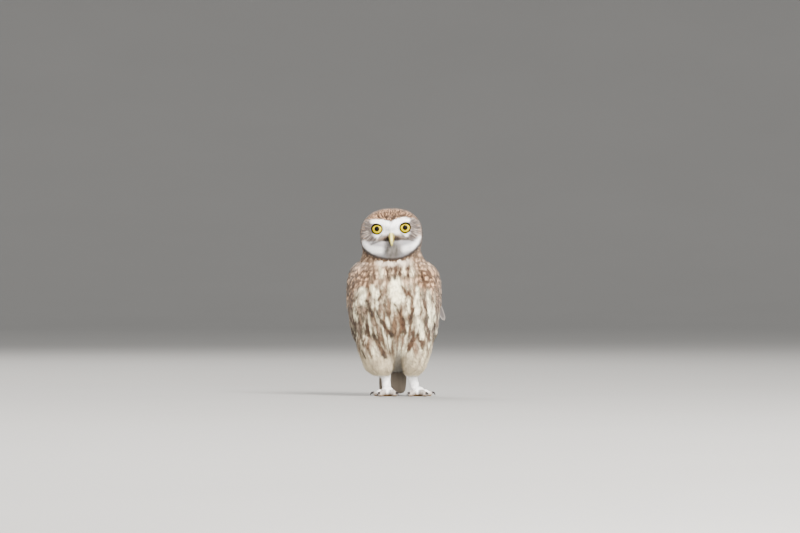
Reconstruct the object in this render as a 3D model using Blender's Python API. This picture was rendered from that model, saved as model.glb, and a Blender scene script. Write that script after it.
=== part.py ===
"""A little owl, standing upright and life size, as a still model.

The owl faces -Y, its own left is +X and +Z is up. Sizes below are in millimetres, and solid() turns
them into metres. Each named sub-part is one closed object. Neighbours keep a gap of GAP to each other.
"""

import functools
import math

import bmesh
import bpy
from mathutils import Matrix, Vector

MM = 0.001
GAP = 0.3
SLIVER = 0.004

# Body, from the vent up into the head: height, middle x, half width, front y, back y
BODY = (
    (27, 1.0, 7.0, 26.0, 37.0),
    (33, 2.0, 13.0, 12.0, 37.0),
    (40, 2.0, 21.5, -9.0, 37.0),
    (50, 1.0, 33.0, -26.0, 38.0),
    (70, 0.5, 43.0, -38.0, 40.0),
    (95, 0.0, 47.6, -43.0, 40.0),
    (118, 0.0, 48.0, -41.5, 38.5),
    (128, -0.1, 47.6, -38.6, 36.5),
    (137, -0.2, 45.4, -34.8, 33.8),
    (145, -0.7, 41.2, -30.4, 31.0),
    (151, -1.3, 36.8, -27.2, 28.8),
    (157, -2.2, 33.6, -24.4, 26.6),
    (166, -3.0, 31.5, -22.0, 24.0),
    (176, -3.0, 26.0, -19.0, 20.0),
)
# What the folded wings lie on: the body, and under it a taper that runs back to the tail
WING_BED = (
    (8, -1.6, 12.5, 26.0, 49.0),
    (24, -0.8, 16.5, 18.0, 48.5),
    (38, 0.2, 24.0, 2.0, 46.5),
    (52, 0.5, 34.5, -20.0, 43.5),
) + BODY[4:]
BODY_SIDES = 28
TORSO_LEVELS = (27, 30, 34, 39, 46, 54, 63, 73, 84, 95, 106, 117, 126, 134, 142, 153)
NECK_LEVELS = (128, 134, 140, 146, 152, 158, 166, 176)
BODY_SQUARENESS = 2.15
TORSO_TOP = (0.0, 0.0, 142.0)
TORSO_TOP_NORMAL = (0.0, -0.2, 1.0)

# Head, in its own frame: its middle, half width, heights over and under the middle, and the depths
# before and behind it
HEAD_MIDDLE = (-3.0, -5.0, 181.0)
HEAD_ROLL = 2.6
HEAD_HALF_WIDTH = 34.5
HEAD_UP = 28.7
HEAD_DOWN = 32.0
HEAD_FRONT = 28.5
HEAD_BACK = 30.5
FACE_FLATNESS = 0.44
FOREHEAD_SLOPE = 0.24
HEAD_SQUARENESS = 2.25
HEAD_SIDES = 36
FACE_RINGS = (0.14, 0.27, 0.39, 0.5, 0.61, 0.71, 0.8, 0.88, 0.94, 0.98, 1.0)
NAPE_RINGS = 6

# Eyes: the eyeball's middle in the head's frame, and the turn outwards in degrees
EYE_SPREAD = 14.9
EYE_HEIGHT = 6.6
EYE_DEPTH = -20.3
EYE_RADIUS = 8.0
EYE_OUTWARD = 8.0
EYE_SIDES = 16
EYE_RINGS = 8
CORNEA_RADIUS = 5.9
CORNEA_RISE = 0.8
LID_OPENING = 6.2
LID_RADIUS = 6.7
LID_RISE = 0.2
LID_THICKNESS = 1.15
LID_SIDES = 20
LID_AROUND = 8

# Forms of the face: how far each stands out, its middle x and z, and its spreads across and up
FACE_MOUNDS = {
    "eye_dish": (-3.4, EYE_SPREAD, EYE_HEIGHT - 1.0, 9.5, 8.5),
    "middle_ridge": (4.0, 0.0, 5.0, 4.8, 11.0),
    "cheek": (1.8, 14.5, -14.0, 10.0, 7.0),
    "chin": (1.6, 0.0, -19.0, 9.0, 6.0),
    "gape": (-1.6, 7.2, -5.8, 3.6, 3.0),
}
# The brow's inner and outer part: how far each stands out, its spread, and its start and end as x, z
BROW = (3.0, 3.8, (3.5, 9.0), (15.0, 15.5))
BROW_END = (1.8, 3.6, (16.0, 15.5), (25.5, 12.5))
# The ruff round the face: how far it stands out, where it lies between middle and rim, and its spread
RUFF = (1.3, 0.92, 0.05)
# How fast the forms fade towards the rim
RELIEF_FADE = 12

# Bill, in the head's frame: y, z, half width, half height of each section
UPPER_BILL = (
    (-24.0, -1.6, 3.6, 4.4),
    (-30.0, -1.6, 3.6, 4.3),
    (-34.0, -2.6, 3.4, 3.9),
    (-36.8, -4.8, 2.9, 3.2),
    (-38.0, -7.8, 2.2, 2.3),
    (-37.9, -10.9, 1.2, 1.3),
    (-37.2, -13.2, 0.35, 0.4),
)
LOWER_BILL = (
    (-24.0, -7.4, 3.0, 2.1),
    (-30.4, -7.6, 2.9, 2.1),
    (-34.0, -8.6, 2.2, 1.7),
    (-35.8, -10.0, 1.0, 0.9),
)
BILL_SIDES = 10
NOSTRIL = (2.3, -34.6, 0.0)
NOSTRIL_RADIUS = 0.75
NOSTRIL_RINGS = 4
NOSTRIL_SIDES = 8

# Folded wing: height, turn round its bed from the front in degrees, and height over the bed, from the
# shoulder to the tip
WING_LEADING = (
    (137.0, 52.0, 0.8),
    (113.0, 54.0, 0.8),
    (88.0, 64.0, 0.8),
    (62.0, 88.0, 1.2),
    (36.0, 118.0, 1.2),
    (12.0, 138.0, 0.8),
)
WING_MIDDLE = (
    (143.0, 88.0, 1.8),
    (117.0, 92.0, 2.5),
    (89.0, 99.0, 2.8),
    (62.0, 118.0, 2.8),
    (37.0, 138.0, 2.8),
    (12.0, 150.0, 2.4),
)
WING_REAR = (
    (142.0, 146.0, 1.8),
    (118.0, 155.0, 2.2),
    (91.0, 164.0, 2.4),
    (64.0, 170.0, 2.6),
    (38.0, 172.0, 2.6),
    (13.0, 172.0, 2.4),
)
WING_CORE_SINK = 0.4
WING_CORE_DEPTHS = (5.0, 5.8, 5.8, 5.6, 5.6)
WING_CORE_END = 0.68
WING_CORE_STEPS = (7, 6)

# Feather blades: share along and share of the half width at each station, then thickness at the ridge
# and at the edges, how far the edges droop, how early the blade rises, and how far one edge leans up
VANE_STATIONS = ((0.0, 0.64), (0.45, 1.0), (0.86, 0.82), (1.0, 0.36))
VANE_RIDGE = 0.65
VANE_EDGE = 0.5
VANE_DROOP = 0.1
VANE_RISE = 0.75
VANE_LEAN = 0.5
VANE_STEPS = 4

# Tiers of the wing: count, root share, tip share, place across of the roots and of the tips, each for
# the first and the last vane, half width, heights of root and tip over the wing's face, and the drop
# from each vane to the next
WING_TIERS = {
    "primaries": (5, (0.52, 0.54), (0.88, 1.0), (0.66, 0.30), (0.70, 0.20), 3.6, (-1.2, -0.8), 0.5),
    "secondaries": (6, (0.36, 0.36), (0.80, 0.72), (0.92, 0.12), (0.92, 0.10), 4.3, (-2.2, 0.7), 0.0),
    "greater_coverts": (6, (0.26, 0.26), (0.54, 0.50), (0.80, 0.09), (0.82, 0.07), 5.4, (-2.2, 1.3), 0.0),
    "median_coverts": (5, (0.16, 0.16), (0.38, 0.37), (0.80, 0.14), (0.80, 0.12), 6.6, (-2.0, 1.7), 0.0),
    "lesser_coverts": (4, (0.06, 0.06), (0.26, 0.25), (0.74, 0.22), (0.76, 0.18), 7.6, (-1.7, 1.9), 0.0),
    "scapulars": (4, (0.22, 0.03), (0.60, 0.28), (0.92, 0.88), (0.97, 0.92), 6.4, (-1.9, 1.9), 0.0),
    "alula": (2, (0.24, 0.18), (0.52, 0.40), (0.04, 0.04), (0.02, 0.02), 3.2, (-2.2, 1.0), 0.0),
}

# The one feather that has slipped out of the folded left wing, from its root to its rounded tip
LOOSE_FEATHER = ((45.5, 8.0, 110.0), (51.2, 9.0, 98.0), (56.6, 10.0, 84.5))
LOOSE_FEATHER_NORMAL = (0.6, -0.75, 0.25)
LOOSE_FEATHER_HALF_WIDTH = 4.1

# Tail, along its middle from the root to the tip, with half widths
TAIL_LINE = ((0.0, 36.6, 74.0), (-0.4, 39.4, 48.0), (-1.2, 41.4, 22.0), (-2.0, 42.8, -1.0))
TAIL_HALF_WIDTHS = (11.5, 13.4, 15.8, 17.2)
TAIL_CROWN = 1.6
TAIL_THICKNESS = 6.0
TAIL_CORE_SINK = 1.0
TAIL_CORE_END = 0.46
TAIL_CORE_WIDTH = 0.9
TAIL_CORE_STEPS = (4, 4)
TAIL_ROOT = 0.12
TAIL_FEATHER_PLACES = (2.7, 5.4, 7.5, 9.3, 10.9, 12.3)
TAIL_FEATHER_HALF_WIDTH = 5.0
TAIL_FEATHER_SINK = 0.6
TAIL_FEATHER_DROP = 0.78
TAIL_FEATHER_SHORTENING = 0.006
TAIL_COVER_WIDTH = 1.12
TAIL_COVER_DEPTH = 9.0
TAIL_COVER_STEPS = (8, 6)

# Thighs: height, middle x, middle y, half width, half depth, for the right leg and the left leg
THIGH_RIGHT = (
    (78, -25.0, -9.0, 11.0, 13.0),
    (70, -25.0, -10.5, 16.0, 17.5),
    (55, -22.4, -11.5, 18.6, 20.5),
    (42, -19.4, -10.5, 17.0, 19.5),
    (32, -17.4, -9.0, 15.0, 16.5),
    (26, -15.4, -7.5, 12.0, 12.6),
    (22.6, -13.6, -6.0, 8.0, 8.6),
)
THIGH_LEFT = (
    (78, 26.0, -9.0, 11.0, 13.0),
    (70, 26.0, -10.5, 16.0, 17.5),
    (55, 25.0, -11.5, 17.4, 20.5),
    (42, 24.0, -10.5, 14.6, 19.5),
    (32, 22.6, -9.0, 12.0, 16.0),
    (26, 21.0, -7.5, 10.0, 12.2),
    (22.6, 20.0, -6.0, 7.4, 8.4),
)
THIGHS = {"right": THIGH_RIGHT, "left": THIGH_LEFT}
THIGH_LEVELS = (76, 70, 63, 56, 49, 42, 36, 31, 27, 24.2, 22.8)
THIGH_SIDES = 16

# Lower legs: x at the heel and at the foot, then y and z of the heel, which is behind, and of the foot
SHANK_X = {"right": (-10.0, -8.0), "left": (18.4, 24.4)}
SHANK_HEEL = (1.5, 30.0)
SHANK_FOOT = (-3.5, 7.0)
SHANK_HALF_WIDTHS = (6.2, 5.2, 4.6, 4.9)
SHANK_DEPTH_RATIO = 1.05
SHANK_STEPS = 5
SHANK_SIDES = 14

# Feet: the pad's middle, half sizes across, along and up, and height of its middle over the floor
FOOT_X = {"right": -7.4, "left": 27.0}
FOOT_Y = -5.0
PAD_HALF = (6.4, 6.6, 6.0)
PAD_HEIGHT = 4.6
PAD_RINGS = 7
PAD_SIDES = 14

# Toes: angle from straight ahead towards the owl's outer side, length, root radius, claw length
TOES = {
    "hind": (-160.0, 12.5, 3.0, 8.0),
    "inner": (-29.0, 16.5, 3.4, 9.5),
    "middle": (24.0, 18.0, 3.4, 9.5),
    "outer": (124.0, 14.5, 3.1, 8.5),
}
TOE_START = 2.0
TOE_SINK = 0.5
TOE_ARCH = 1.56
TOE_ARCH_END = 1.15
TOE_TAPER = 0.16
TOE_KNUCKLES = 2.5
TOE_KNUCKLE_SHARES = (0.9, 0.13)
TOE_TIP = (0.55, 0.62)
TOE_STEPS = 9
TOE_SIDES = 8

# Claws: sweep in degrees, reach as a share of the length, height of the arch, height of the tip over
# the floor, and half width and half height at the tip and added at the root
CLAW_SWEEP = 88.0
CLAW_REACH = 0.82
CLAW_ARCH = 1.5
CLAW_ROOT_SINK = 0.5
CLAW_ROOT_RISE = 0.3
CLAW_TIP_HEIGHT = 0.7
CLAW_TIP_HALVES = (0.22, 0.25)
CLAW_ROOT_HALVES = (1.2, 1.55)
CLAW_TAPER = 0.8
CLAW_STEPS = 7
CLAW_SIDES = 6

COLOURS = {
    "head": ((0.58, 0.49, 0.40), 0.85),
    "neck": ((0.50, 0.40, 0.31), 0.85),
    "torso": ((0.70, 0.62, 0.53), 0.85),
    "wing": ((0.42, 0.33, 0.25), 0.8),
    "tail": ((0.38, 0.31, 0.25), 0.8),
    "thigh": ((0.78, 0.74, 0.66), 0.85),
    "shank": ((0.88, 0.86, 0.82), 0.85),
    "foot": ((0.66, 0.62, 0.55), 0.7),
    "toe": ((0.66, 0.62, 0.55), 0.7),
    "claw": ((0.06, 0.05, 0.05), 0.35),
    "eye": ((0.85, 0.68, 0.08), 0.1),
    "bill": ((0.72, 0.68, 0.42), 0.4),
}

SIDES = {"left": 1, "right": -1}


def table_row(table, key):
    """The values at this key of the first column, on a smooth curve through the table's rows."""
    rows = sorted(table)
    keys = [row[0] for row in rows]
    key = min(max(key, keys[0]), keys[-1])
    low = max(i for i in range(len(rows) - 1) if keys[i] <= key)
    span = keys[low + 1] - keys[low]
    share = (key - keys[low]) / span

    def slope(i, column):
        before, after = max(i - 1, 0), min(i + 1, len(rows) - 1)
        return (rows[after][column] - rows[before][column]) / (keys[after] - keys[before])

    row = []
    for column in range(1, len(rows[0])):
        start, end = rows[low][column], rows[low + 1][column]
        rise = slope(low, column) * span, slope(low + 1, column) * span
        s2, s3 = share * share, share**3
        row.append(
            start * (2 * s3 - 3 * s2 + 1)
            + rise[0] * (s3 - 2 * s2 + share)
            + end * (3 * s2 - 2 * s3)
            + rise[1] * (s3 - s2)
        )
    return row


def along(points, share):
    """The point at this share, from 0 to 1, of a smooth line through the points."""
    table = [(i / (len(points) - 1), *point) for i, point in enumerate(points)]
    return Vector(table_row(table, share))


def rounded(value, power):
    """A sine or cosine bent so that the outline made of it is fuller than an ellipse."""
    return math.copysign(abs(value) ** power, value)


def full_turn(sides):
    """The angles of the corners of a ring."""
    return [2 * math.pi * k / sides for k in range(sides)]


def material(kind):
    name = "owl_" + kind
    found = bpy.data.materials.get(name)
    if found is None:
        colour, roughness = COLOURS[kind]
        found = bpy.data.materials.new(name)
        found.use_nodes = True
        shader = found.node_tree.nodes["Principled BSDF"]
        shader.inputs["Base Color"].default_value = (*colour, 1.0)
        shader.inputs["Roughness"].default_value = roughness
        shader.inputs["Metallic"].default_value = 0.0
    return found


def solid(name, kind, points, faces):
    """A closed object from points in millimetres, with its faces turned outwards."""
    mesh = bpy.data.meshes.new(name)
    mesh.from_pydata([Vector(point) * MM for point in points], [], faces)
    made = bmesh.new()
    made.from_mesh(mesh)
    bmesh.ops.recalc_face_normals(made, faces=made.faces)
    made.to_mesh(mesh)
    made.free()
    obj = bpy.data.objects.new(name, mesh)
    bpy.context.scene.collection.objects.link(obj)
    obj.data.materials.append(material(kind))
    return obj


def loft(name, kind, rings, first_tip=None, last_tip=None):
    """A closed skin over rings of equal count. A tip point closes an end with a fan, and an end
    without one is flat."""
    sides = len(rings[0])
    points = [point for ring in rings for point in ring]
    faces = []
    for r in range(len(rings) - 1):
        for k in range(sides):
            a, b = r * sides + k, r * sides + (k + 1) % sides
            faces.append((a, b, b + sides, a + sides))
    for start, tip in ((0, first_tip), ((len(rings) - 1) * sides, last_tip)):
        end_ring = list(range(start, start + sides))
        if tip is None:
            faces.append(end_ring)
            continue
        points.append(tip)
        faces.extend((end_ring[k], end_ring[(k + 1) % sides], len(points) - 1) for k in range(sides))
    return solid(name, kind, points, faces)


def heading_at(line, i):
    """The direction of a line of points at one of them."""
    return (line[min(i + 1, len(line) - 1)] - line[max(i - 1, 0)]).normalized()


def tube(name, kind, line, halves, sides, up=Vector((0, 0, 1))):
    """A loft along a line of points, each with a half width across and a half height."""
    rings = []
    for i, centre in enumerate(line):
        ahead = heading_at(line, i)
        across = ahead.cross(up).normalized()
        over = across.cross(ahead)
        wide, high = halves[i]
        turns = full_turn(sides)
        rings.append([centre + across * wide * math.cos(t) + over * high * math.sin(t) for t in turns])
    return loft(name, kind, rings)


def evaluated_mesh(obj):
    graph = bpy.context.evaluated_depsgraph_get()
    return bpy.data.meshes.new_from_object(obj.evaluated_get(graph))


def keep_largest(obj):
    """Leaves only the closed surface that holds the most. Scraps that touch it along an edge go too."""
    made = bmesh.new()
    made.from_mesh(obj.data)
    unseen = set(made.faces)
    groups = []
    while unseen:
        group, front = [], [unseen.pop()]
        while front:
            face = front.pop()
            group.append(face)
            for edge in face.edges:
                if len(edge.link_faces) != 2:
                    continue
                for other in edge.link_faces:
                    if other in unseen:
                        unseen.remove(other)
                        front.append(other)
        volume = 0.0
        for face in group:
            corners = [vert.co for vert in face.verts]
            for k in range(1, len(corners) - 1):
                volume += corners[0].dot(corners[k].cross(corners[k + 1])) / 6
        groups.append((volume, group))
    groups.sort(key=lambda pair: pair[0])
    scraps = [face for _, group in groups[:-1] for face in group]
    bmesh.ops.delete(made, geom=scraps, context="FACES")
    made.to_mesh(obj.data)
    made.free()


def split_faces(obj):
    """Drops slivers, splits every face into triangles, and drops the scraps that this sets apart."""
    made = bmesh.new()
    made.from_mesh(obj.data)
    bmesh.ops.dissolve_degenerate(made, edges=made.edges[:], dist=SLIVER * MM)
    bmesh.ops.triangulate(made, faces=made.faces[:])
    made.to_mesh(obj.data)
    made.free()
    keep_largest(obj)


def boolean(obj, other, operation, solver="EXACT"):
    """Applies one Boolean with an object or with a collection of closed objects."""
    modifier = obj.modifiers.new(operation.lower(), "BOOLEAN")
    modifier.operation = operation
    modifier.solver = solver
    if isinstance(other, bpy.types.Collection):
        modifier.operand_type = "COLLECTION"
        modifier.collection = other
    else:
        modifier.object = other
    bpy.context.view_layer.update()
    mesh = evaluated_mesh(obj)
    obj.modifiers.clear()
    obj.data = mesh
    keep_largest(obj)


def fuse(obj, pieces):
    """Joins closed pieces to an object and removes them."""
    group = bpy.data.collections.new(obj.name + "_pieces")
    bpy.context.scene.collection.children.link(group)
    for piece in pieces:
        group.objects.link(piece)
    boolean(obj, group, "UNION", "MANIFOLD")
    for piece in pieces:
        bpy.data.objects.remove(piece)
    bpy.data.collections.remove(group)


def grown(obj, distance=GAP):
    """A copy whose surface stands off by this distance."""
    made = bmesh.new()
    made.from_mesh(obj.data)
    made.normal_update()
    moves = [(vert, vert.normal * vert.calc_shell_factor()) for vert in made.verts]
    for vert, move in moves:
        vert.co += move * distance * MM
    mesh = bpy.data.meshes.new(obj.name + "_grown")
    made.to_mesh(mesh)
    made.free()
    copy = bpy.data.objects.new(obj.name + "_grown", mesh)
    bpy.context.scene.collection.objects.link(copy)
    return copy


def clear_of(obj, *neighbours, distance=GAP, solver="EXACT"):
    """Cuts an object back to the gap from each neighbour."""
    for neighbour in neighbours:
        cutter = grown(neighbour, distance)
        boolean(obj, cutter, "DIFFERENCE", solver)
        bpy.data.objects.remove(cutter)


def cut_flat(obj, point, normal):
    """Cuts off what lies past a plane, on the side that the normal points to, and closes the cut."""
    made = bmesh.new()
    made.from_mesh(obj.data)
    geometry = made.verts[:] + made.edges[:] + made.faces[:]
    cut = bmesh.ops.bisect_plane(
        made, geom=geometry, plane_co=Vector(point) * MM, plane_no=Vector(normal), clear_outer=True
    )
    rim = [item for item in cut["geom_cut"] if isinstance(item, bmesh.types.BMEdge)]
    bmesh.ops.holes_fill(made, edges=rim)
    bmesh.ops.recalc_face_normals(made, faces=made.faces)
    made.to_mesh(obj.data)
    made.free()


def round_point(table, height, angle):
    """A point on the rounded outline that a table gives at this height. Angle 0 is in front, and 90
    degrees is on the owl's left."""
    middle_x, half_width, front, back = table_row(table, height)
    power = 2 / BODY_SQUARENESS
    x = middle_x + half_width * rounded(math.sin(angle), power)
    y = (front + back) / 2 - (back - front) / 2 * rounded(math.cos(angle), power)
    return Vector((x, y, height))


def make_body(name, heights):
    """A stretch of the body between heights."""
    rings = [[round_point(BODY, height, angle) for angle in full_turn(BODY_SIDES)] for height in heights]
    return loft(name, name, rings)


def head_frame():
    return Matrix.Translation(HEAD_MIDDLE) @ Matrix.Rotation(math.radians(-HEAD_ROLL), 4, "Y")


def mound(x, z, height, middle_x, middle_z, wide_x, wide_z):
    return height * math.exp(-(((x - middle_x) / wide_x) ** 2) - ((z - middle_z) / wide_z) ** 2)


def ridge(x, z, height, spread, start, end):
    """The height at a place in the face's plane of a ridge from start to end."""
    line = Vector((end[0] - start[0], end[1] - start[1]))
    offset = Vector((x - start[0], z - start[1]))
    share = min(max(offset.dot(line) / line.length_squared, 0), 1)
    away = (offset - line * share).length
    return height * math.exp(-((away / spread) ** 2))


def face_relief(x, z, edge):
    """How far the face stands out at a place in its plane, where edge is 0 in the middle and 1 at the
    rim."""
    x = abs(x)
    forms = sum(mound(x, z, *form) for form in FACE_MOUNDS.values())
    brow = max(ridge(x, z, *BROW), ridge(x, z, *BROW_END))
    rise, place, spread = RUFF
    return forms + brow + rise * math.exp(-(((edge - place) / spread) ** 2))


def head_point(share, angle):
    """A point of the head: share runs from 0 at the middle of the face over 1 at the side to 2 at the
    nape."""
    if share <= 1:
        out, depth = share, -HEAD_FRONT * (1 - share * share) ** (FACE_FLATNESS / 2)
    else:
        out = math.cos((share - 1) * math.pi / 2)
        depth = HEAD_BACK * math.sin((share - 1) * math.pi / 2)
    across, up = (rounded(part, 2 / HEAD_SQUARENESS) for part in (math.sin(angle), math.cos(angle)))
    x = HEAD_HALF_WIDTH * out * across
    z = (HEAD_UP if up > 0 else HEAD_DOWN) * out * up
    if share <= 1:
        depth *= 1 - FOREHEAD_SLOPE * max(z / HEAD_UP, 0) ** 2
        depth -= face_relief(x, z, share) * (1 - share**RELIEF_FADE)
    return head_frame() @ Vector((x, depth, z))


def make_head():
    shares = list(FACE_RINGS) + [1 + (i + 1) / (NAPE_RINGS + 1) for i in range(NAPE_RINGS)]
    rings = [[head_point(share, angle) for angle in full_turn(HEAD_SIDES)] for share in shares]
    return loft("head", "head", rings, head_point(0, 0), head_point(2, 0))


def eye_frame(side):
    """The eye's own frame, whose +Z points out of the face."""
    place = Matrix.Translation((side * EYE_SPREAD, EYE_DEPTH, EYE_HEIGHT))
    outward = Matrix.Rotation(math.radians(side * EYE_OUTWARD), 4, "Z")
    return head_frame() @ place @ outward @ Matrix.Rotation(math.pi / 2, 4, "X")


def make_eye(name, side):
    """An eyeball with the low dome of its cornea in front."""
    frame = eye_frame(side)
    rings = []
    for i in range(1, EYE_RINGS + 1):
        tilt = math.pi * i / (EYE_RINGS + 1)
        radius, height = EYE_RADIUS * math.sin(tilt), EYE_RADIUS * math.cos(tilt)
        if height > 0 and radius < CORNEA_RADIUS:
            height += CORNEA_RISE * (1 - (radius / CORNEA_RADIUS) ** 2)
        turns = full_turn(EYE_SIDES)
        rings.append([frame @ Vector((radius * math.cos(t), radius * math.sin(t), height)) for t in turns])
    front = frame @ Vector((0, 0, EYE_RADIUS + CORNEA_RISE))
    return loft(name, "eye", rings, front, frame @ Vector((0, 0, -EYE_RADIUS)))


def make_lid(side):
    """The raised rim of the lids round an eye, as a ring that the head takes in."""
    frame = eye_frame(side)
    middle_height = math.sqrt(EYE_RADIUS**2 - LID_OPENING**2) + LID_RISE
    points, faces = [], []
    for k, turn in enumerate(full_turn(LID_SIDES)):
        for j, angle in enumerate(full_turn(LID_AROUND)):
            radius = LID_RADIUS + LID_THICKNESS * math.cos(angle)
            height = middle_height + LID_THICKNESS * math.sin(angle)
            points.append(frame @ Vector((radius * math.cos(turn), radius * math.sin(turn), height)))
            a, b = k * LID_AROUND + j, k * LID_AROUND + (j + 1) % LID_AROUND
            c, d = ((corner + LID_AROUND) % (LID_SIDES * LID_AROUND) for corner in (a, b))
            faces.append((a, b, d, c))
    return solid("lid", "head", points, faces)


def make_bill(name, sections):
    """One half of the bill, lofted over its sections."""
    frame = head_frame()
    line = [frame @ Vector((0.0, y, z)) for y, z, _, _ in sections]
    across = frame.to_3x3() @ Vector((1, 0, 0))
    rings = []
    for i, (_, _, wide, high) in enumerate(sections):
        over = across.cross(heading_at(line, i))
        turns = full_turn(BILL_SIDES)
        rings.append([line[i] + across * wide * math.sin(t) + over * high * math.cos(t) for t in turns])
    return loft(name, "bill", rings)


def ball(name, kind, centre, halves, rings, sides):
    """A faceted ball with these half sizes across, along and up."""
    made = []
    for i in range(1, rings + 1):
        tilt = math.pi * i / (rings + 1)
        ring = []
        for turn in full_turn(sides):
            offset = (math.sin(tilt) * math.cos(turn), math.sin(tilt) * math.sin(turn), math.cos(tilt))
            ring.append(centre + Vector([half * part for half, part in zip(halves, offset)]))
        made.append(ring)
    up = Vector((0, 0, halves[2]))
    return loft(name, kind, made, centre + up, centre - up)


def cut_nostrils(upper_bill):
    """A small pit on each side of the bill's root."""
    x, y, z = NOSTRIL
    for side in SIDES.values():
        centre = head_frame() @ Vector((side * x, y, z))
        pit = ball("nostril", "bill", centre, (NOSTRIL_RADIUS,) * 3, NOSTRIL_RINGS, NOSTRIL_SIDES)
        boolean(upper_bill, pit, "DIFFERENCE")
        bpy.data.objects.remove(pit)


def bed_outward(height, angle, step=0.02):
    """The level direction straight out of what the wings lie on."""
    before, after = (round_point(WING_BED, height, angle + turn) for turn in (-step, step))
    return (after - before).cross(Vector((0, 0, 1))).normalized()


def wing_point(side, share, across):
    """A point on a folded wing's outer face: share from shoulder to tip, across from the leading to the
    rear edge."""
    lead, middle, rear = (along(line, share) for line in (WING_LEADING, WING_MIDDLE, WING_REAR))
    height, turn, rise = (
        lead * (1 - across) * (1 - 2 * across)
        + middle * 4 * across * (1 - across)
        + rear * across * (2 * across - 1)
    )
    angle = side * math.radians(turn)
    return round_point(WING_BED, height, angle) + bed_outward(height, angle) * rise


def tail_point(share, across):
    """A point on the middle face of the tail: across runs from -1 on the owl's right to 1 on its left."""
    half_width = along([(w, 0, 0) for w in TAIL_HALF_WIDTHS], share).x
    middle = along(TAIL_LINE, share)
    return middle + Vector((half_width * across, -TAIL_CROWN * across * across, 0))


class Sheet:
    """A curved face that feathers lie on. Its sign turns its normals outwards."""

    def __init__(self, point, sign):
        self.point = point
        self.sign = sign

    def normal(self, share, across, step=0.01):
        low, high = max(share - step, 0), min(share + step, 1)
        ahead = self.point(high, across) - self.point(low, across)
        sideways = self.point(share, across + step) - self.point(share, across - step)
        return ahead.cross(sideways).normalized() * self.sign


WING_SHEETS = {side: Sheet(functools.partial(wing_point, side), side) for side in SIDES.values()}
TAIL_SHEET = Sheet(tail_point, -1)


def slab(name, kind, sheet, shares, acrosses, over, depths):
    """A closed slab that follows a sheet, from over it to these depths under it, from its root to its
    end."""
    rows, columns = len(shares), len(acrosses)
    points = []
    for outer in (True, False):
        for i, share in enumerate(shares):
            height = over if outer else -along([(d, 0, 0) for d in depths], i / (rows - 1)).x
            for across in acrosses:
                points.append(sheet.point(share, across) + sheet.normal(share, across) * height)
    faces = []
    layer = rows * columns
    for i in range(rows - 1):
        for j in range(columns - 1):
            a = i * columns + j
            quad = (a, a + 1, a + columns + 1, a + columns)
            faces.append(quad)
            faces.append(tuple(layer + corner for corner in reversed(quad)))
    rim = list(range(columns))
    rim += [i * columns + columns - 1 for i in range(1, rows)]
    rim += [(rows - 1) * columns + j for j in range(columns - 2, -1, -1)]
    rim += [i * columns for i in range(rows - 2, 0, -1)]
    for k, a in enumerate(rim):
        b = rim[(k + 1) % len(rim)]
        faces.append((a, b, b + layer, a + layer))
    return solid(name, kind, points, faces)


def vane(kind, line, normals, half_width, lifts, lean=0.0):
    """A closed feather blade along a line of points with normals. Its root sinks and its tip stands out
    by the lifts, lean raises one edge over the other, and both edges droop a little. Both faces share one
    pattern of triangles."""
    points, faces = [], []
    for i, (share, width) in enumerate(VANE_STATIONS):
        centre = along(line, share)
        ahead = along(line, min(share + 0.05, 1)) - along(line, max(share - 0.05, 0))
        normal = along(normals, share).normalized()
        across = ahead.cross(normal).normalized()
        centre = centre + normal * (lifts[0] + (lifts[1] - lifts[0]) * share**VANE_RISE)
        for side in (-1, 0, 1):
            bend = lean * side - VANE_DROOP * abs(side)
            place = centre + across * half_width * width * side + normal * bend
            thick = (VANE_RIDGE if side == 0 else VANE_EDGE) / 2
            points += [place + normal * thick, place - normal * thick]
        if i == 0:
            continue
        a, b = (i - 1) * 6, i * 6
        for k in (0, 2):
            faces += [(a + k, a + k + 2, b + k + 2), (a + k, b + k + 2, b + k)]
            faces += [(a + k + 1, b + k + 3, a + k + 3), (a + k + 1, b + k + 1, b + k + 3)]
        faces += [(a, b, b + 1, a + 1), (a + 4, a + 5, b + 5, b + 4)]
    last = (len(VANE_STATIONS) - 1) * 6
    faces += [(0, 1, 3, 2), (2, 3, 5, 4)]
    faces += [(last, last + 2, last + 3, last + 1), (last + 2, last + 4, last + 5, last + 3)]
    return solid("vane", kind, points, faces)


def sheet_vane(kind, sheet, root, tip, half_width, lifts, lean):
    """A vane that lies on a sheet from a root to a tip, each a share along and a place across."""
    line, normals = [], []
    for k in range(VANE_STEPS + 1):
        share, across = (root[n] + (tip[n] - root[n]) * k / VANE_STEPS for n in (0, 1))
        line.append(sheet.point(share, across))
        normals.append(sheet.normal(share, across))
    return vane(kind, line, normals, half_width, lifts, lean)


def wing_vanes(side):
    """A wing's feathers, tier by tier, as vanes that overlap like roof tiles."""
    sheet, lean = WING_SHEETS[side], side * VANE_LEAN
    vanes = []
    for count, *ranges, half_width, lifts, drop in WING_TIERS.values():
        for i in range(count):
            root_share, tip_share, root_place, tip_place = (
                first + (last - first) * i / (count - 1) for first, last in ranges
            )
            root, tip = (root_share, root_place), (tip_share, tip_place)
            lowered = [lift - drop * i for lift in lifts]
            vanes.append(sheet_vane("wing", sheet, root, tip, half_width, lowered, lean))
    return vanes


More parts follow.
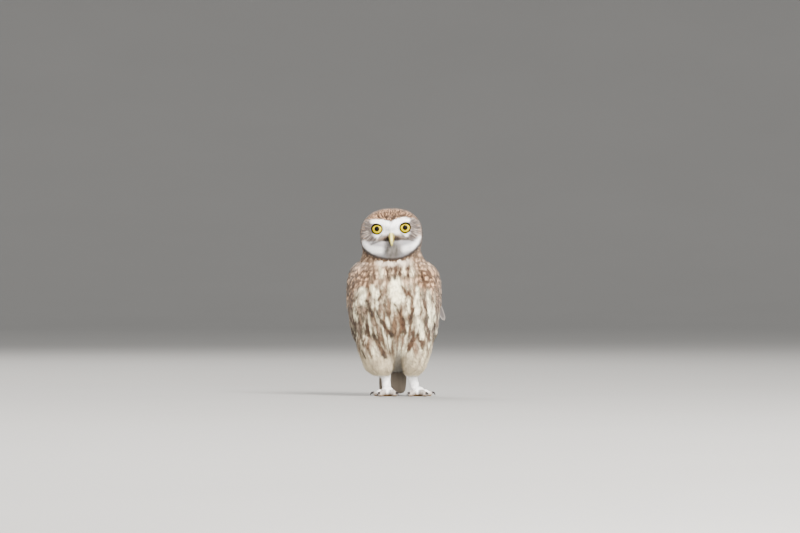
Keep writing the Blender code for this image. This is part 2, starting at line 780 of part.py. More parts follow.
def make_wing(side_name, side, neighbours):
    """A folded wing, cut to lie face to face on what is beside it."""
    rows, columns = WING_CORE_STEPS
    shares = [WING_CORE_END * i / rows for i in range(rows + 1)]
    acrosses = [j / columns for j in range(columns + 1)]
    name, sheet = "wing_" + side_name, WING_SHEETS[side]
    wing = slab(name, "wing", sheet, shares, acrosses, -WING_CORE_SINK, WING_CORE_DEPTHS)
    vanes = wing_vanes(side)
    if side_name == "left":
        outward = Vector(LOOSE_FEATHER_NORMAL).normalized()
        vanes.append(vane("wing", LOOSE_FEATHER, [outward] * 3, LOOSE_FEATHER_HALF_WIDTH, (0.0, 0.0)))
    fuse(wing, vanes)
    clear_of(wing, *neighbours, solver="MANIFOLD")
    cut_flat(wing, (side * GAP / 2, 0, 0), (-side, 0, 0))
    keep_largest(wing)


def tail_vane(side, k):
    """The k-th tail feather from the middle on one side. The middle pair lies over all the others, and
    the right one of the pair on top."""
    level = k + 1
    if k == 0 and side == SIDES["right"]:
        level = 0
    height = TAIL_THICKNESS / 2 - TAIL_FEATHER_SINK - TAIL_FEATHER_DROP * level
    across = side * TAIL_FEATHER_PLACES[k] / TAIL_HALF_WIDTHS[-1]
    root, tip = (TAIL_ROOT, across), (1 - TAIL_FEATHER_SHORTENING * k, across)
    return sheet_vane("tail", TAIL_SHEET, root, tip, TAIL_FEATHER_HALF_WIDTH, (height, height), 0.0)


def make_tail(torso):
    """The closed tail: the feathers of each side lie in a stack under the middle pair."""
    rows, columns = TAIL_CORE_STEPS
    shares = [TAIL_CORE_END * i / rows for i in range(rows + 1)]
    acrosses = [TAIL_CORE_WIDTH * (2 * j / columns - 1) for j in range(columns + 1)]
    over, under = TAIL_THICKNESS / 2 - TAIL_CORE_SINK, TAIL_THICKNESS / 2
    tail = slab("tail", "tail", TAIL_SHEET, shares, acrosses, over, (under, under))
    fuse(tail, [tail_vane(side, k) for side in (-1, 1) for k in range(len(TAIL_FEATHER_PLACES))])
    clear_of(tail, torso)
    cut_flat(tail, (0, 0, 0), (0, 0, -1))
    return tail


def make_tail_cover():
    """A plain block round the whole tail, which the wings keep clear of."""
    rows, columns = TAIL_COVER_STEPS
    shares = [i / rows for i in range(rows + 1)]
    acrosses = [TAIL_COVER_WIDTH * (2 * j / columns - 1) for j in range(columns + 1)]
    depths = (TAIL_COVER_DEPTH, TAIL_COVER_DEPTH)
    return slab("tail_cover", "tail", TAIL_SHEET, shares, acrosses, TAIL_THICKNESS / 2 + GAP, depths)


def make_thigh(side_name, torso):
    rings = []
    for z in THIGH_LEVELS:
        x, y, wide, deep = table_row(THIGHS[side_name], z)
        turns = full_turn(THIGH_SIDES)
        rings.append([(x + wide * math.sin(t), y - deep * math.cos(t), z) for t in turns])
    thigh = loft("thigh_" + side_name, "thigh", rings)
    clear_of(thigh, torso)
    return thigh


def make_shank(side_name, torso, thigh, foot):
    """The feathered lower leg, from under the thigh's feathers to the foot."""
    heel_x, foot_x = SHANK_X[side_name]
    top, end = Vector((heel_x, *SHANK_HEEL)), Vector((foot_x, *SHANK_FOOT))
    shares = [k / SHANK_STEPS for k in range(SHANK_STEPS + 1)]
    line = [top.lerp(end, share) for share in shares]
    widths = [along([(w, 0, 0) for w in SHANK_HALF_WIDTHS], share).x for share in shares]
    halves = [(width, width * SHANK_DEPTH_RATIO) for width in widths]
    shank = tube("shank_" + side_name, "shank", line, halves, SHANK_SIDES, up=Vector((0, -1, 0)))
    clear_of(shank, torso, thigh, foot)
    return shank


def make_foot(side_name):
    """The pad that the toes grow from, with a flat sole."""
    centre = Vector((FOOT_X[side_name], FOOT_Y, PAD_HEIGHT))
    foot = ball("foot_" + side_name, "foot", centre, PAD_HALF, PAD_RINGS, PAD_SIDES)
    cut_flat(foot, (0, 0, 0), (0, 0, -1))
    return foot


def toe_line(side_name, toe):
    """Points along a toe's bones with their radii, from inside the pad to the tip, and its heading."""
    angle, length, radius, _ = TOES[toe]
    turn = math.radians(angle) * SIDES[side_name]
    heading = Vector((math.sin(turn), -math.cos(turn), 0))
    start = Vector((FOOT_X[side_name], FOOT_Y, 0)) + heading * TOE_START
    thin, thick = TOE_KNUCKLE_SHARES
    points, radii = [], []
    for k in range(TOE_STEPS + 1):
        share = k / TOE_STEPS
        knuckle = 0.5 - 0.5 * math.cos(2 * math.pi * TOE_KNUCKLES * share)
        arch = TOE_ARCH * math.sin(math.pi * min(share * TOE_ARCH_END, 1)) ** 2
        points.append(start + heading * length * share + Vector((0, 0, radius - TOE_SINK + arch)))
        radii.append(radius * (1 - TOE_TAPER * share) * (thin + thick * knuckle))
    return points, radii, heading


def make_toe(side_name, toe, foot, others):
    """A toe with its knuckles and pads, flat where it meets the floor."""
    points, radii, _ = toe_line(side_name, toe)
    reach, narrowing = TOE_TIP
    points.append(points[-1] + (points[-1] - points[-2]).normalized() * radii[-1] * reach)
    radii.append(radii[-1] * narrowing)
    made = tube(f"toe_{toe}_{side_name}", "toe", points, [(r, r) for r in radii], TOE_SIDES)
    cut_flat(made, (0, 0, 0), (0, 0, -1))
    clear_of(made, foot, *others, solver="MANIFOLD")
    return made


def make_claw(side_name, toe, toe_object):
    """A curved claw that leaves the toe's tip and ends just over the floor."""
    points, _, heading = toe_line(side_name, toe)
    length = TOES[toe][3]
    start = points[-1] + Vector((0, 0, CLAW_ROOT_RISE)) - heading * CLAW_ROOT_SINK
    fall = start.z - CLAW_TIP_HEIGHT
    sweep = math.radians(CLAW_SWEEP)
    line, halves = [], []
    for k in range(CLAW_STEPS + 1):
        share = k / CLAW_STEPS
        forward = math.sin(sweep * share) * length * CLAW_REACH
        down = (1 - math.cos(sweep * share)) / (1 - math.cos(sweep)) * fall
        up = CLAW_ARCH * math.sin(math.pi * share)
        line.append(start + heading * forward + Vector((0, 0, up - down)))
        swell = (1 - share) ** CLAW_TAPER
        halves.append([tip + root * swell for tip, root in zip(CLAW_TIP_HALVES, CLAW_ROOT_HALVES)])
    claw = tube(f"claw_{toe}_{side_name}", "claw", line, halves, CLAW_SIDES)
    clear_of(claw, toe_object, solver="MANIFOLD")


def make_leg(side_name, torso):
    """A thigh, lower leg, foot and four toes with claws."""
    thigh = make_thigh(side_name, torso)
    foot = make_foot(side_name)
    shank = make_shank(side_name, torso, thigh, foot)
    toes = []
    for toe in TOES:
        toes.append(make_toe(side_name, toe, foot, [shank, *toes]))
        make_claw(side_name, toe, toes[-1])
    return thigh


def centre_on_floor():
    """Moves the whole owl so that its box is centred over the origin."""
    objects = [obj for obj in bpy.context.scene.objects if obj.type == "MESH"]
    corners = [vert.co for obj in objects for vert in obj.data.vertices]
    middle = [(min(c[n] for c in corners) + max(c[n] for c in corners)) / 2 for n in (0, 1)]
    for obj in objects:
        obj.data.transform(Matrix.Translation((-middle[0], -middle[1], 0)))


def make_head_parts():
    """The head with its lids, its eyes and the two halves of its bill."""
    head = make_head()
    fuse(head, [make_lid(side) for side in SIDES.values()])
    for side_name, side in SIDES.items():
        clear_of(head, make_eye("eye_" + side_name, side))
    upper_bill = make_bill("bill_upper", UPPER_BILL)
    lower_bill = make_bill("bill_lower", LOWER_BILL)
    cut_nostrils(upper_bill)
    clear_of(upper_bill, head)
    clear_of(lower_bill, head, upper_bill)
    return head


def main():
    for obj in list(bpy.data.objects):
        bpy.data.objects.remove(obj)

    torso = make_body("torso", TORSO_LEVELS)
    cut_flat(torso, TORSO_TOP, TORSO_TOP_NORMAL)
    head = make_head_parts()
    neck = make_body("neck", NECK_LEVELS)
    tilt = Vector(TORSO_TOP_NORMAL).normalized()
    cut_flat(neck, Vector(TORSO_TOP) + tilt * GAP, -tilt)
    clear_of(neck, head)

    tail = make_tail(torso)
    cover = make_tail_cover()
    for side_name, side in SIDES.items():
        thigh = make_leg(side_name, torso)
        clear_of(tail, thigh)
        make_wing(side_name, side, (torso, neck, thigh, cover))
    bpy.data.objects.remove(cover)
    for obj in bpy.context.scene.objects:
        split_faces(obj)
    centre_on_floor()


main()
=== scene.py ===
"""The looks of a little owl: skin, feathers, eyes, bill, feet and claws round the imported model.

Lengths are in millimetres, measured from the floor under the middle of the torso, with the owl facing
-Y and its own left at +X. new_mesh() turns them into metres in the frame's place.
"""

import functools
import math
from typing import NamedTuple

import bmesh
import bpy
import numpy as np
from mathutils import Matrix, Vector
from mathutils.bvhtree import BVHTree


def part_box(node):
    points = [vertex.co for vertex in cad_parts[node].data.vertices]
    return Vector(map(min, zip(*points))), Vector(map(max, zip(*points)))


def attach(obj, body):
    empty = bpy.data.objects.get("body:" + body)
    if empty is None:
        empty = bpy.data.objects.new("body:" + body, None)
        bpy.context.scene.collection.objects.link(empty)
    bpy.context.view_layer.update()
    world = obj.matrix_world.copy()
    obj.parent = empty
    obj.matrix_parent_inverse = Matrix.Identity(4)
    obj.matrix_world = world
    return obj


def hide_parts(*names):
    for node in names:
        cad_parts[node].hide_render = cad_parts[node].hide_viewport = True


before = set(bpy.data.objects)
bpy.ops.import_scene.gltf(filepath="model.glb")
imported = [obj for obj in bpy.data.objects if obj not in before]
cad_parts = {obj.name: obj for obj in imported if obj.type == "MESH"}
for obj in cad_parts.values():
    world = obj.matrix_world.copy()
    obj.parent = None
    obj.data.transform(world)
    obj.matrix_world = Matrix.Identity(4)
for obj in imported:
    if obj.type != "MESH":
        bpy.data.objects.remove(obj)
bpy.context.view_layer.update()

MM = 0.001
SIDES = {"left": 1, "right": -1}
TOES = ("hind", "inner", "middle", "outer")

# The torso's middle in the frame, which the places below are measured from
TORSO_MIDDLE_Y = -1.5


def box_middle(node):
    low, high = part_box(node)
    return (low + high) / 2


torso_middle = box_middle("torso")
ORIGIN = np.array((torso_middle.x / MM, torso_middle.y / MM - TORSO_MIDDLE_Y, 0.0))

# Head's own frame, with its origin midway between the eyes: x to the owl's left, y backwards, z up
eye_places = {side: np.array(box_middle("eye_" + side)) / MM - ORIGIN for side in SIDES}
EYES_MIDDLE = (eye_places["left"] + eye_places["right"]) / 2
HEAD_X = eye_places["left"] - eye_places["right"]
HEAD_X[1] = 0.0
HEAD_X /= np.linalg.norm(HEAD_X)
HEAD_Y = np.array((0.0, 1.0, 0.0))
HEAD_Z = np.cross(HEAD_X, HEAD_Y)
HEAD_AXES = np.stack((HEAD_X, HEAD_Y, HEAD_Z))
EYE_SPREAD = np.linalg.norm(eye_places["left"] - eye_places["right"]) / 2

# Head's middle and the bill's root in that frame
HEAD_MIDDLE = np.array((0.0, 20.0, -8.2))
BILL_ROOT = np.array((0.0, -8.0, -5.5))


def to_head(points):
    return (points - EYES_MIDDLE) @ HEAD_AXES.T


def from_head(points):
    return np.asarray(points) @ HEAD_AXES + EYES_MIDDLE


def smooth(low, high, value):
    """0 under low, 1 over high, and a soft step between them. High may be the smaller one."""
    share = np.clip((value - low) / (high - low), 0, 1)
    return share * share * (3 - 2 * share)


def blend(first, second, share):
    """Rows of colour or number, mixed by a share for each row."""
    share = np.asarray(share)
    if np.ndim(first) > 1 or np.ndim(second) > 1 or np.shape(first) == (3,):
        share = share[..., None]
    return first + (np.asarray(second) - first) * share


# Tone curve of the picture, near enough: grey that a camera shows at MIDDLE_TONE sends back MIDDLE_LIGHT, and a
# white surface in the studio's light sends back STUDIO_LIGHT
MIDDLE_TONE = 0.459
MIDDLE_LIGHT = 0.18
TOP_TONE = 1.08
TONE_POWER = 1.35
STUDIO_LIGHT = 3.0
BRIGHTEST = 0.93


def shown(red, green, blue):
    """The colour of a surface that the picture shows as this one, from 0 to 255, in full light."""
    tone = np.array((red, green, blue)) / 255
    ratio = tone / (TOP_TONE - tone) * (TOP_TONE - MIDDLE_TONE) / MIDDLE_TONE
    return np.minimum(MIDDLE_LIGHT * ratio**TONE_POWER / STUDIO_LIGHT, BRIGHTEST)


def scatter_number(cell_u, cell_v, seed):
    """A number from 0 to 1 for each cell, always the same for the same cell and seed."""
    u = cell_u.astype(np.int64) & 0xFFFFFFFF
    v = cell_v.astype(np.int64) & 0xFFFFFFFF
    mixed = (u * 374761393 + v * 668265263 + seed * 982451653) & 0xFFFFFFFF
    mixed = ((mixed ^ (mixed >> 13)) * 1274126177) & 0xFFFFFFFF
    return ((mixed ^ (mixed >> 16)) & 0xFFFF) / 65535


def cloud(u, v, seed):
    """Soft noise from 0 to 1, with blots one unit wide."""
    cell_u, cell_v = np.floor(u), np.floor(v)
    share_u, share_v = smooth(0, 1, u - cell_u), smooth(0, 1, v - cell_v)
    near = [scatter_number(cell_u + i, cell_v + j, seed) for i, j in ((0, 0), (1, 0), (0, 1), (1, 1))]
    low = near[0] + (near[1] - near[0]) * share_u
    high = near[2] + (near[3] - near[2]) * share_u
    return low + (high - low) * share_v


def spots(u, v, wide, high, size, seed, present=1.0):
    """A mask of rounded spots, one in each cell of wide by high, size across its cell."""
    u, v = u / wide, v / high
    mask = np.zeros(np.shape(u))
    for i in (-1, 0, 1):
        for j in (-1, 0, 1):
            cell_u, cell_v = np.floor(u) + i, np.floor(v) + j
            middle_u = cell_u + 0.25 + 0.5 * scatter_number(cell_u, cell_v, seed)
            middle_v = cell_v + 0.25 + 0.5 * scatter_number(cell_u, cell_v, seed + 1)
            there = scatter_number(cell_u, cell_v, seed + 2) < present
            radius = size * (0.7 + 0.5 * scatter_number(cell_u, cell_v, seed + 3))
            away = np.hypot(u - middle_u, v - middle_v) / radius
            mask = np.maximum(mask, smooth(1.1, 0.6, away) * there)
    return mask


def stroke(x, z, points, width, soft):
    """A mask along a line through points in a plane: 1 within half the width, fading over soft."""
    away = np.full(np.shape(x), 1e9)
    for (x0, z0), (x1, z1) in zip(points, points[1:]):
        dx, dz = x1 - x0, z1 - z0
        share = np.clip(((x - x0) * dx + (z - z0) * dz) / (dx * dx + dz * dz), 0, 1)
        away = np.minimum(away, np.hypot(x - x0 - dx * share, z - z0 - dz * share))
    return smooth(width / 2 + soft, np.maximum(width / 2 - soft, 0), away)


def patch(x, z, middle_x, middle_z, wide, high, soft=0.35):
    """A mask of an oval, fading at its rim."""
    away = np.hypot((x - middle_x) / wide, (z - middle_z) / high)
    return smooth(1 + soft, 1 - soft, away)


# Colours of the plumage, as the picture shows them
CROWN = shown(134, 106, 78)
CROWN_DARK = shown(94, 68, 46)
CROWN_STREAK = shown(228, 210, 188)
WHITE = shown(246, 242, 234)
SHADE_WHITE = shown(200, 197, 197)
UNDER_WHITE = shown(243, 232, 222)
UNDER_SHADE = shown(188, 176, 162)
CHEEK_SHADE = shown(188, 190, 194)
DISC = shown(134, 123, 118)
DISC_PALE = shown(198, 191, 185)
LORE = shown(152, 132, 112)
GAPE = shown(66, 50, 40)
MOUSTACHE = shown(104, 94, 86)
CHIN = shown(126, 120, 108)
RUFF = shown(78, 55, 40)
NECK = shown(152, 127, 100)
NECK_SPOT = shown(216, 202, 184)
THROAT = shown(224, 219, 212)
BREAST = shown(150, 119, 86)
BREAST_SPOT = shown(226, 216, 200)
SHOULDER = shown(126, 96, 66)
SHOULDER_SPOT = shown(222, 206, 184)
STREAK_BROWN = shown(62, 40, 22)
STREAK_RUFOUS = shown(110, 70, 34)
BELLY_BUFF = shown(160, 134, 102)
BLUSH = shown(168, 142, 116)
THIGH = shown(216, 210, 194)
THIGH_SHADE = shown(172, 162, 148)
SHANK = shown(250, 248, 244)
VENT = shown(188, 185, 178)
BACK = shown(122, 94, 72)
BACK_SPOT = shown(220, 210, 192)


# Marks of the face, in the head's frame: x to the owl's left and z up from the line of the eyes
CROWN_EDGE = (
    (-40, 5.0), (-33.5, 9.4), (-27.6, 11.0), (-21.8, 11.2), (-13.5, 10.8), (-7.6, 10.0), (-2.9, 8.6), (0, 7.4),
    (2.9, 8.4), (8.8, 10.8), (17, 11.8), (24, 11.0), (30, 8.8), (33, 6.6), (40, 2.0),
)
RUFF_LINE = ((-35.5, -11), (-33.6, -19.6), (-28.8, -24.6), (-23, -28.7), (-15.9, -31.8), (-7.6, -34.0), (0.6, -34.9),
             (10, -34.0), (18.2, -30.9), (25.3, -26), (31.2, -19.6), (34.4, -12.6), (35.5, -4))
BROWS = (
    ((-6, 5.0), (-12, 7.6), (-16, 8.4), (-20.5, 8.4)),
    ((6, 5.6), (12, 8.4), (15, 9.0), (19.5, 8.4)),
)
# Streaked grey brown of the disc outside the eyes
DISC_SIDES = (
    ((-27.5, 6.0), (-27.5, -2), (-26.5, -8), (-23, -11)),
    ((28, 4.5), (28, -2), (27.5, -7), (24, -10.5)),
)
MOUSTACHES = (((-6.2, -13.2), (-12, -13.4), (-17, -14.8), (-23, -16.8)),
              ((6.2, -12.6), (12, -12.6), (18, -13.2), (24, -14.6)))
# Short dark lines that slant from under each eye
UNDER_EYE_MARKS = (
    ((-10.2, -6.6), (-14.2, -10.4)), ((-16.4, -9.4), (-21.0, -14.6)), ((-20.4, -9.0), (-25.0, -13.6)),
    ((10.6, -6.0), (14.4, -9.4)), ((12.0, -9.0), (18.6, -12.2)), ((20.0, -8.0), (26.0, -11.6)),
)
CHEEKS = (((-32, -16), (-27.5, -20.5), (-20.5, -23.5), (-12, -24.5)),
          ((33, -13), (28.5, -18.5), (22, -22), (13.5, -24.0)))
FOREHEAD_LINES = (((-1.4, 8.4), (-0.6, 4.0)), ((0.6, 9.0), (0.5, 5.0)), ((2.6, 9.2), (1.6, 6.0)))


def crown_colour(head):
    """Brown, mottled, with pale drops on the nape. The crown's fine streaks lie on its single feathers."""
    centred = head - HEAD_MIDDLE
    back = np.arctan2(centred[:, 2], -centred[:, 1])
    back = np.where(back < -math.pi / 2, back + 2 * math.pi, back) * 30
    u = centred[:, 0]
    grain = cloud(u / 1.6, back / 4.0, 11)
    colour = blend(CROWN, CROWN_DARK, 0.9 * smooth(0.3, 0.9, grain))
    colour = blend(colour, STREAK_RUFOUS, 0.3 * smooth(0.3, 0.9, cloud(u / 9, back / 9, 12)))
    nape = smooth(50, 70, back)
    large = spots(u, back, 6.0, 6.5, 0.32, 17, 0.85)
    return blend(colour, CROWN_STREAK, large * nape * 0.9)


def face_colour(head):
    """The facial disc, with its white brows, cheeks and forehead, brown marks by the bill and dark ruff."""
    x, z = head[:, 0], head[:, 2]
    side = np.where(x > 0, 1, -1)
    eye_x = x - side * EYE_SPREAD
    turn = np.arctan2(z, eye_x * side)
    away = np.hypot(eye_x, z)
    rays = cloud(turn * 12, away / 9, 21)
    colour = blend(DISC, DISC_PALE, smooth(0.45, 0.7, rays))
    dark_rays = smooth(0.55, 0.8, cloud(turn * 15, away / 8, 22)) * smooth(9, 13, away)
    colour = blend(colour, MOUSTACHE, 0.5 * dark_rays)
    colour = blend(colour, WHITE, 0.7 * patch(x, z, side * 14.0, -7.0, 7.0, 3.6))
    between = smooth(11.0, 7.0, np.abs(x)) * smooth(-10, -4, z)
    colour = blend(colour, WHITE, between)
    for points in DISC_SIDES:
        streaked = blend(DISC, MOUSTACHE, 0.6 * smooth(0.5, 0.8, rays))
        colour = blend(colour, blend(streaked, DISC_PALE, dark_rays), 0.9 * stroke(x, z, points, 10.0, 2.8))
    for points in BROWS:
        colour = blend(colour, WHITE, stroke(x, z, points, 4.0 + 2.4 * smooth(22, 12, np.abs(x)), 1.6))
    lores = patch(x, z, side * 8.0, -10.4, 6.4, 3.2, 0.5)
    colour = blend(colour, LORE, 0.85 * lores)
    below = smooth(-12.5, -15.0, z)
    colour = blend(colour, blend(CHEEK_SHADE, SHADE_WHITE, cloud(x / 5, z / 5, 24)), below)
    for points in CHEEKS:
        colour = blend(colour, WHITE, stroke(x, z, points, 7.0, 2.6))
    chin = patch(x, z, 0.8, -25.5, 9.5, 10.0, 0.5)
    chin_grain = cloud(x / 1.8, z / 3.4, 25)
    colour = blend(colour, blend(CHIN, SHADE_WHITE, 0.4 * chin_grain), chin)
    for points in MOUSTACHES:
        colour = blend(colour, MOUSTACHE, 0.8 * stroke(x, z, points, 1.6, 1.4))
    for points in UNDER_EYE_MARKS:
        colour = blend(colour, GAPE, 0.7 * stroke(x, z, points, 1.2, 0.7))
    colour = blend(colour, GAPE, 0.95 * patch(x, z, side * 5.4, -12.2, 4.0, 2.2, 0.45))
    colour = blend(colour, STREAK_RUFOUS, 0.4 * patch(x, z, side * 3.6, -9.0, 1.2, 3.0))
    for points in FOREHEAD_LINES:
        colour = blend(colour, CROWN_DARK, 0.5 * stroke(x, z, points, 0.4, 0.4))
    return colour


def head_colour(points):
    head = to_head(points)
    x, y, z = head.T
    edge_x, edge_z = np.array(CROWN_EDGE).T
    crown_line = np.interp(x, edge_x, edge_z) + 1.2 * cloud(x / 1.2, y / 4, 31) - 0.6
    front = smooth(19.0, 15.0, y + 1.5 * cloud(z / 3, x / 9, 32))
    is_face = front * smooth(crown_line + 0.6, crown_line - 0.6, z)
    colour = blend(crown_colour(head), face_colour(head), is_face)
    rim = stroke(x, z, RUFF_LINE, 3.2, 1.0) * smooth(30, 24, y)
    ruff_x, ruff_z = np.array(RUFF_LINE).T
    below = smooth(-0.5, 1.0, np.interp(x, ruff_x, ruff_z) - z) * smooth(30, 24, y) * (z < -8)
    neck = blend(NECK, NECK_SPOT, 0.8 * spots(x, z, 4, 4, 0.3, 33))
    return blend(blend(colour, neck, below), RUFF, 0.9 * rim)


# Marks of the body: x to the owl's left and height over the floor, and each streak's width
STREAKS = (
    (((-25, 141), (-23, 137), (-21, 131)), 3.2),
    (((-8.5, 144), (-6.5, 137), (-4.5, 130)), 2.6),
    (((-3.5, 145), (-3, 139)), 1.8),
    (((1.5, 145), (2.5, 137), (1.5, 131)), 3.0),
    (((7, 144), (6.5, 136)), 2.6),
    (((15.8, 148), (15.2, 141), (16.5, 134)), 3.0),
    (((-45, 107), (-38, 114), (-31, 119)), 4.0),
    (((-15, 119), (-14.6, 113), (-17.5, 107)), 2.4),
    (((-31, 107), (-28, 101), (-27, 95)), 3.4),
    (((-26.5, 98), (-23.6, 90)), 3.0),
    (((-19, 96), (-17.6, 87)), 3.0),
    (((-10.8, 103), (-7.3, 90)), 2.8),
    (((-30, 80), (-28, 68)), 3.6),
    (((-37, 76), (-35, 58)), 2.8),
    (((-14.5, 85), (-8, 76), (-2.6, 68)), 4.2),
    (((-23, 68), (-16.5, 57), (-10, 44.5)), 4.6),
    (((-31, 58), (-24, 43)), 2.0),
    (((-37, 51), (-32, 43)), 1.8),
    (((9, 123), (15, 113.5)), 2.8),
    (((16, 117), (21, 106)), 2.4),
    (((32.5, 118), (33.5, 103), (37.4, 88), (35, 80)), 2.8),
    (((38.6, 118), (43.3, 106)), 2.8),
    (((21, 97), (18.4, 82)), 4.4),
    (((10.4, 87), (11.6, 71)), 4.4),
    (((35.4, 87), (38.6, 75), (39.8, 62)), 3.0),
    (((22, 72), (20.5, 63), (16, 53)), 4.2),
    (((26.8, 69), (31.5, 53.5)), 3.2),
    (((1, 103), (6.5, 91)), 2.8),
)
WHITE_LOBES = (
    (((-35, 118), (-35, 106)), 7.5),
    (((-24, 120), (-20, 113)), 7.0),
    (((2, 130), (3, 114), (0.5, 100)), 8.0),
    (((26.5, 120), (26, 94)), 5.0),
    (((39.5, 116), (40.5, 78)), 5.0),
    (((28, 84), (31, 66)), 5.0),
    (((11.5, 149), (11, 136)), 3.4),
    (((20, 148), (20.5, 135)), 3.4),
    (((-14.5, 143), (-13.8, 134)), 3.6),
)
STREAK_SPREAD = 1.25
STREAK_SPACING = 6.2
STREAK_LENGTH = 14.0


def streaks(azimuth, height):
    """Long drop-shaped marks that run down the underparts and draw together as the body narrows."""
    column = azimuth * 46 / STREAK_SPACING + 0.34 * cloud(height / 13, azimuth * 4, 41)
    number = np.floor(column)
    start = scatter_number(number, number * 0, 42)
    place = height / STREAK_LENGTH + start
    row = np.floor(place)
    size = 0.5 + 0.6 * scatter_number(number, row, 43)
    shape = np.sin(math.pi * np.clip((place - row) * 1.12, 0, 1)) ** 0.7
    away = np.abs(column - number - 0.5) * STREAK_SPACING
    return smooth(0.7, -0.5, away - 2.0 * size * shape) * smooth(0.0, 0.2, shape)


def under_colour(x, height, azimuth):
    """The breast, belly, flanks and thighs."""
    along = azimuth * 46
    shade = cloud(along / 3, height / 9, 52)
    colour = blend(UNDER_WHITE, UNDER_SHADE, 0.9 * smooth(0.35, 0.9, shade))
    blush = smooth(0.35, 0.9, cloud(along / 4.5, height / 8, 51)) * (1 - patch(x, height, 2, 118, 9, 16))
    low = smooth(108, 80, height)
    # The blush is the belly's own colour; its growing stronger towards the bottom is painted shade on the lower body.
    colour = blend(colour, BLUSH, (0.65 + 0.3 * low) * blush)
    colour = blend(colour, BELLY_BUFF, 0.8 * low * smooth(0.35, 0.8, cloud(along / 3, height / 12, 65)))
    colour = blend(colour, BELLY_BUFF, 0.8 * patch(x, height, 4.5, 82.0, 7.5, 22.0, 0.5))
    # Fine vertical lines of breast brown: painted shade between the feathers.
    fine = smooth(0.42, 0.8, cloud(along / 1.6, height / 13, 67)) * (1 - 0.8 * patch(x, height, 2, 118, 9, 16))
    colour = blend(colour, BREAST, 0.75 * fine * smooth(34, 60, height) * smooth(134, 118, height))
    wavy_x = x + 1.6 * (cloud(x / 6, height / 6, 62) - 0.5)
    reach = smooth(44, 60, height) * smooth(139, 118, height) * (1 - patch(x, height, 2, 118, 8, 15))
    reach = reach * (1 - 0.8 * patch(x, height, 2, 52, 14, 16))
    brown = blend(STREAK_BROWN, STREAK_RUFOUS, cloud(along / 9, height / 11, 53))
    random = streaks(azimuth, height) * reach * (0.9 - 0.2 * smooth(0.9, 0.6, np.abs(azimuth)))
    placed = np.zeros(len(x))
    lobes = np.zeros(len(x))
    for points, width in STREAKS:
        placed = np.maximum(placed, stroke(wavy_x, height, points, width * STREAK_SPREAD, 0.9))
    for points, width in WHITE_LOBES:
        lobes = np.maximum(lobes, stroke(wavy_x, height, points, width, 1.4))
    lobes = lobes * smooth(1.5, 1.2, np.abs(azimuth))
    placed = placed * smooth(1.5, 1.2, np.abs(azimuth))
    small = spots(along, height, 4.2, 5.5, 0.3, 54, 0.8)
    colour = blend(colour, BREAST, 0.55 * small * smooth(88, 106, height) * smooth(132, 122, height))
    band = smooth(120, 131, height + 6 * cloud(x / 6, height / 8, 55)) * smooth(31, 24, np.abs(x - 1))
    band = band * (1 - 0.9 * patch(x, height, 2.5, 119.5, 7.5, 12))
    band_colour = blend(BREAST, BLUSH, smooth(0.3, 0.8, cloud(x / 3.5, height / 11, 56)))
    band_colour = blend(band_colour, BREAST_SPOT, 0.9 * spots(x, height, 7.5, 11.0, 0.36, 57, 0.95))
    colour = blend(colour, band_colour, 0.9 * band)
    shoulder = smooth(22, 30, np.abs(x) + 4 * cloud(height / 7, x / 7, 58)) * smooth(104, 124, height)
    rufous = np.where(x > 0, 0.3, 0.05) + 0.3 * cloud(along / 6, height / 6, 59)
    shoulder_base = blend(blend(SHOULDER, CROWN_DARK, 0.5 * cloud(along / 4, height / 5, 63)), STREAK_RUFOUS, rufous)
    spotted = blend(shoulder_base, SHOULDER_SPOT, 0.9 * spots(along, height, 5.0, 6.4, 0.32, 60, 0.85))
    colour = blend(colour, spotted, shoulder)
    outer = smooth(44.5, 47.5, np.abs(x)) * smooth(82, 96, height)
    colour = blend(colour, blend(shoulder_base, BLUSH, 0.4 * cloud(along / 2, height / 8, 64)), 0.85 * outer)
    streaked_thigh = blend(THIGH, THIGH_SHADE, 0.6 * smooth(0.4, 0.8, cloud(along / 2, height / 12, 68)))
    colour = blend(colour, streaked_thigh, 0.85 * smooth(52, 40, height))
    colour = blend(colour, UNDER_WHITE, (0.9 - 0.35 * smooth(130, 136, height)) * lobes)
    # The painted shade between the feathers again, laid over the white lobes.
    colour = blend(colour, BREAST, 0.5 * fine * smooth(40, 60, height) * smooth(134, 118, height))
    colour = blend(colour, brown, 0.95 * np.maximum(random * (1 - lobes), placed) * (1 - 0.6 * shoulder))
    colour = blend(colour, VENT, 0.85 * patch(x, height, 5.0, 33.0, 4.2, 17.0, 0.4))
    throat = patch(x, height + 3 * cloud(x / 3, height / 9, 66), -3.0, 151.5, 21, 4.6, 0.5)
    colour = blend(colour, THROAT, 0.9 * throat)
    neck_side = smooth(17, 23, np.abs(x)) * smooth(138, 146, height)
    neck = blend(NECK, NECK_SPOT, 0.9 * spots(x, height, 4.6, 5.0, 0.34, 61, 0.9))
    return blend(colour, neck, neck_side)


def back_colour(x, height, along):
    """The nape, back and rump: brown with large pale spots, and the pale arcs behind the head."""
    base = blend(BACK, CROWN_DARK, 0.4 * cloud(along / 5, height / 7, 71))
    colour = blend(base, BACK_SPOT, 0.9 * spots(along, height, 8.5, 9.5, 0.28, 72, 0.85))
    arcs = stroke(np.abs(x), height, ((3, 146), (14, 154), (24, 163)), 5.0, 2.2)
    colour = blend(colour, BACK_SPOT, 0.8 * arcs * (0.5 + 0.5 * smooth(0.3, 0.6, cloud(x / 3, height / 4, 73))))
    rump = smooth(66, 50, height)
    return blend(colour, blend(NECK, VENT, 0.5), 0.6 * rump)


# How far round the body, in radians from the front, the white of the underparts reaches at some heights
BACK_EDGE_HEIGHTS = (40, 62, 90, 120)
BACK_EDGE_TURNS = (3.3, 2.5, 1.9, 1.55)


